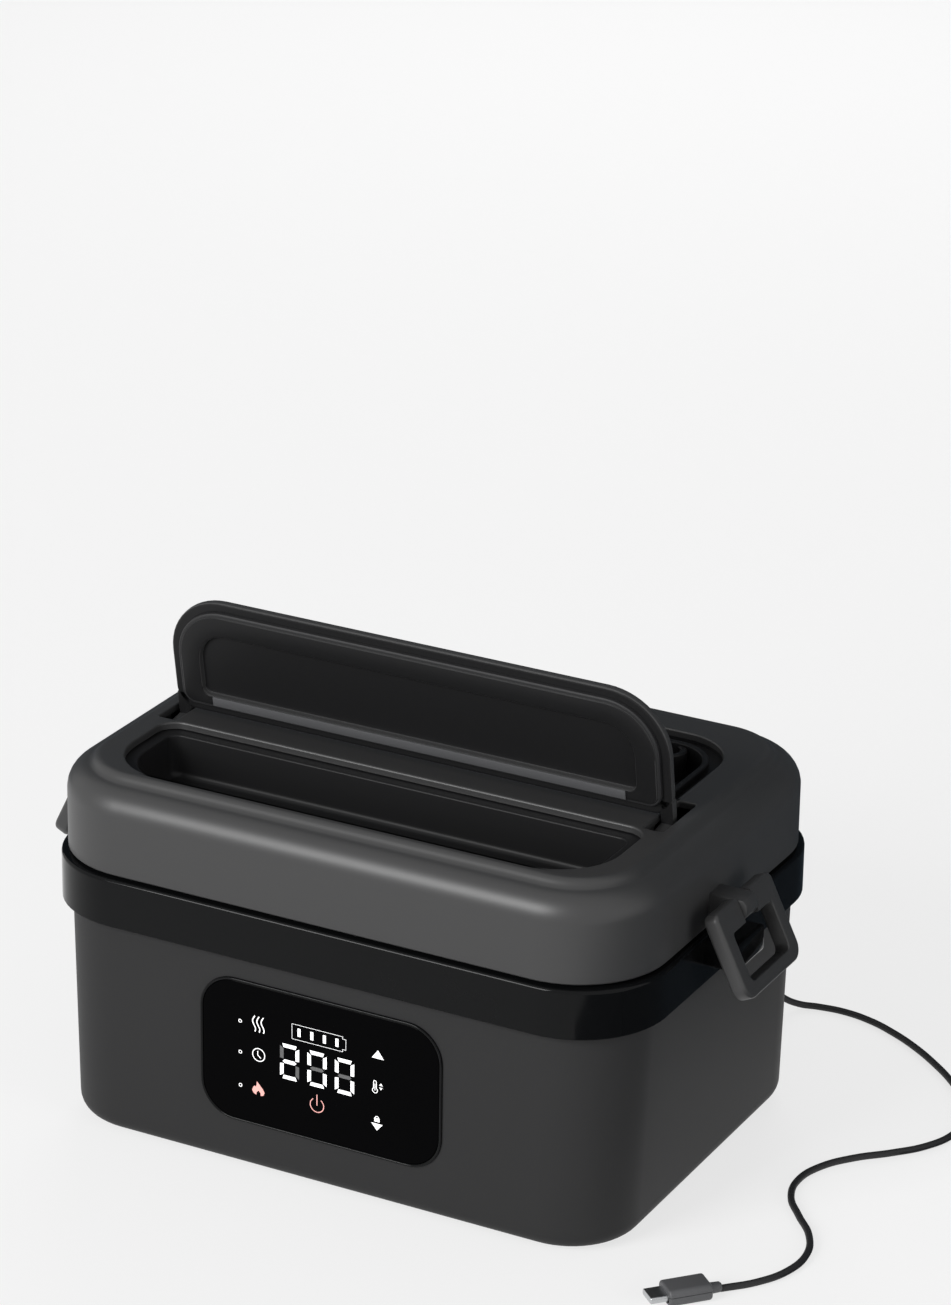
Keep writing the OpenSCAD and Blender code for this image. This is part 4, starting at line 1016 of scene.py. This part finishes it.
# %% Rear compartment with its post
lip = Outline(90, 3, 54, 4, 18)
groove, groove_under, lip_top, rear_floor = 137.15, 135.55, 139.95, 128.5
bm = bmesh.new()
solid(bm, rings(lip, [(0, rear_floor - dish_t), (0, groove_under)])
      + rings(rear_hole, [(-0.5, groove_under), (-0.5, 138.4), (-0.15, 138.4), (-0.15, groove)])
      + rings(lip, [(0, groove), (0, lip_top - 0.5)] + arc(0.5, lip_top - 0.5, 0.5, 180, 90, 3)[1:]
              + arc(1.9, lip_top - 0.5, 0.5, 90, 0, 3) + [(2.4, 134), (2.5, rear_floor + 1.5)]
              + arc(4, rear_floor + 1.5, 1.5, 180, 270, 4)[1:]))
post_r = 7
post = post_rim = circle_ring(bm, 70, 47.5, post_r, rear_floor - 0.4)
for r, z in ((7, 138.45), (6.5, 138.95), (5, 138.95), (4.5, 138.45), (4.5, rear_floor + 1)):
    post_rim = raise_ring(bm, post_rim, z, r / post_r)
    post_r = r
bmesh.ops.contextual_create(bm, geom=around(post))
bmesh.ops.contextual_create(bm, geom=around(post_rim))
# Painted shade: the rear dish gets a darker copy of the lid's plastic.
settle(bm, "rear_dish", "matte_lid", "lid", "rear_compartment", own=satin_painted_shade)

# %% [markdown]
# Under the lid sits a black liner that hides the compartments from below. A round boss in its
# middle makes room for the valve to be pulled up under the closed lid.

# %% Liner
liner_z, liner_top = 117.4, 119.0
bm = bmesh.new()
first, last = sleeve(bm, rings(
    lid, [(14, liner_z), (7, liner_z), (5.3, 116.9), (4.6, 115.2), (4.6, 107.6), (2.8, 107.6),
          (2.8, liner_top), (14, liner_top)]))
for sheet_rim, r, low, high in ((first, 23.95, liner_z, 120.6), (last, 25.55, liner_top, 121.8)):
    dome = circle_ring(bm, 0, 0, r, low)
    bmesh.ops.contextual_create(bm, geom=around(raise_ring(bm, dome, high)))
    fill_between(bm, sheet_rim, dome)
settle(bm, "lid_liner_panel", "gloss_black", "lid", "lid_liner")

# %% [markdown]
# ## The flap
#
# The flap is drawn closed, flat on the lid, because that is where its numbers come from. A raised
# frame and a dark seal run round its underside. One turn about the hinge then stands it open.

# %% Flap at its open rest
hinge_y, hinge_z, eye_r, flap_angle = -17.8, 134.6, 2.8, 80.5
FLAP_OPEN = (Matrix.Translation((0, hinge_y, hinge_z))
             @ Matrix.Rotation(math.radians(-flap_angle), 4, "X")
             @ Matrix.Translation((0, -hinge_y, -hinge_z)))
flap_plate = Outline(101, -71.5, -23.8, 24, 8.3)
flap_frame = Outline(96.2, -66.7, -28.6, 19.2, 4)
flap_well = Outline(88.2, -58.7, -32.6, 12, 3)
flap_low, flap_high = 141.45, 144.8
frame_z = flap_low - 1.7

bm = bmesh.new()
solid(bm, rings(flap_well, [(0.6, flap_low)] + arc(0.5, flap_low - 0.5, 0.5, 90, 180, 3)[1:]
                + [(0, frame_z)] + arc(-0.5, frame_z, 0.5, 0, -90, 3)[1:])
      + rings(flap_frame, arc(0.5, frame_z, 0.5, 270, 180, 3)
              + [(0, flap_low - 0.3), (-0.3, flap_low)])
      + rings(flap_plate, [(1.2, flap_low)] + arc(0.8, flap_low + 0.8, 0.8, 270, 180, 4)
              + arc(1.2, flap_high - 1.2, 1.2, 180, 90, 6) + [(2, flap_high)]))
leg = arc(hinge_y, hinge_z, eye_r, 0, -180, 8) + [
    (hinge_y - eye_r, flap_low), (hinge_y - 12, flap_low), (hinge_y - 12, flap_high - 0.05),
    (hinge_y + eye_r, flap_high - 0.05)]
for side in (-1, 1):
    side_view(bm, leg, 5, side * 98.45, "X", 0.4)
flap = settle(moved(bm, FLAP_OPEN), "hinged_flap", "matte_lid", "flap", "flap")
# Painted shade: the open flap's faces that look forward get a darker copy of the lid's plastic.
dress(flap, satin_painted_shade, lambda at, normal: normal.y < -0.7)

bm = bmesh.new()
hoop(bm, rings(flap_frame, [(-1.2, flap_low), (-1.2, flap_low - 1.2), (-0.8, flap_low - 1.6),
                            (-0.05, flap_low - 1.6), (-0.05, flap_low)]))
settle(moved(bm, FLAP_OPEN), "flap_seal_ring", "rubber_black", "flap", "flap_seal")

bm = bmesh.new()
block_between(bm, (-84, -32.4, 138.65), (84, -28.8, 139.25), 0.2)
settle(moved(bm, FLAP_OPEN), "flap_rest_pad", "dark_plastic", "flap", "flap_pad")

# %% [markdown]
# ## The latches
#
# A latch is a flat loop with round bars. Its outer edge and its window are two outlines, so one
# closed hoop passes over the bars: up the outside, over, and down the window. The top bar is cut
# away in the middle for the arm that carries it.

# %% Latch loops
loop_outer = Outline(22.3, -29.2, 3.9, 6, 3)
loop_window = Outline(15.5, -24, -5.5, 2.5, 1.5)
loop_out = 26
for name, side in (("left", -1), ("right", 1)):
    bm = bmesh.new()
    hoop(bm, rings(loop_outer, arc(1.4, -1.6, 1.4, 270, 180, 5) + arc(1.4, 1.6, 1.4, 180, 90, 5))
         + rings(loop_window, arc(-0.5, 2.5, 0.5, 90, 0, 3) + arc(-0.5, -2.5, 0.5, 0, -90, 3)))
    gap = bmesh.new()
    block_between(gap, (-5.2, -6.3, -5), (5.2, 6, 5), 0.5)
    bm = carve(bm, gap)
    upright = Matrix(((0, 0, side, 0), (side, 0, 0, 0), (0, 1, 0, 0), (0, 0, 0, 1)))
    moved(bm, Matrix.Translation((side * pivot_x, latch_y, pivot_z))
          @ Matrix.Rotation(math.radians(-side * loop_out), 4, "Y") @ upright)
    settle(bm, f"{name}_latch", "matte_lid", f"{name}_loop", f"latch_loop_{name}")

# %% [markdown]
# ## The cord's plugs
#
# A plug is a small rounded block with a metal tongue and a tapered sleeve that protects the cord.
# The block and the tongue are short shells, laid along the way that the cord runs.

# %% Plugs at both ends
def lying(along, place):
    """Matrix that lays +Z along a level direction with +Y up, and sets it at a place."""
    z = Vector(along).normalized()
    x = Vector((0, 0, 1)).cross(z).normalized()
    return Matrix.Translation(place) @ Matrix((x, z.cross(x), z)).transposed().to_4x4()


def plug_body(bm, half_w, half_h, start, length, soft):
    """Adds a rounded block along +Z, from its start over its length."""
    shape = even(half_w, half_h, min(half_w, half_h) * 0.72)
    solid(bm, rings(shape, arc(soft, start + soft, soft, 270, 180, 3)
                    + arc(soft, start + length - soft, soft, 180, 90, 3)))


plug_half, plug_l, plug_axis_z = 5.6, 16, 3.2
backwards = (0, 1, 0)
bm = bmesh.new()
plug_body(bm, plug_half, 3.3, 0, plug_l, 0.8)
moved(bm, lying(backwards, (cord_socket_x, 83, socket_z)))
relief = turned([(0, 0), (2.2, 0), (2.1, 0.8), (1.7, 7), (1.5, 7.4), (0, 7.4)], 24)
relief_mesh = mesh_of(moved(relief, lying(backwards, (cord_socket_x, 98.6, 23))), "relief")
bm.from_mesh(relief_mesh)
bpy.data.meshes.remove(relief_mesh)
base_plug = settle(bm, "socket_plug", "dark_plastic", "base", "cord_base_plug")

# %% Free plug and its tongue
way = Vector(cord_route[-1]) - Vector(cord_route[-2])
free_way = lying(way, (*cord_route[-1][:2], 0))
bm = turned([(0, 0), (1.4, 0), (1.9, 0.6), (2.1, 6), (0, 6)], 24)
moved(bm, Matrix.Translation((0, 2.2, 0)))
before = set(bm.verts)
plug_body(bm, plug_half, 3.1, 5, plug_l, 0.9)
at_axis = Matrix.Translation((0, plug_axis_z, 0))
moved(bm, at_axis, [v for v in bm.verts if v not in before])
free_plug = settle(moved(bm, free_way), "free_plug", "dark_plastic", "base", "cord_free_plug")

bm = bmesh.new()
plug_body(bm, 4.1, 1.2, 20, 7.4, 0.25)
tongue = settle(moved(bm, free_way @ at_axis), "plug_tongue", "small_steel", "base")

# %% [markdown]
# ## The nodes that stay
#
# The inner parts, screws, feet and bottom cover have the right shape already. They keep their CAD
# meshes and only get a finish, which the record's slot names for each one.

# %% Finishes for carried-over nodes
kept = 0
for part in frame["record"]["subparts"]:
    node = cad_nodes[part["node"]]
    if node.hide_render:
        continue
    node.data.materials.clear()
    node.data.materials.append(by_slot[part["material_slot"]])
    kept += 1
print("CAD nodes kept:", kept)

# %% The end
bpy.context.view_layer.update()
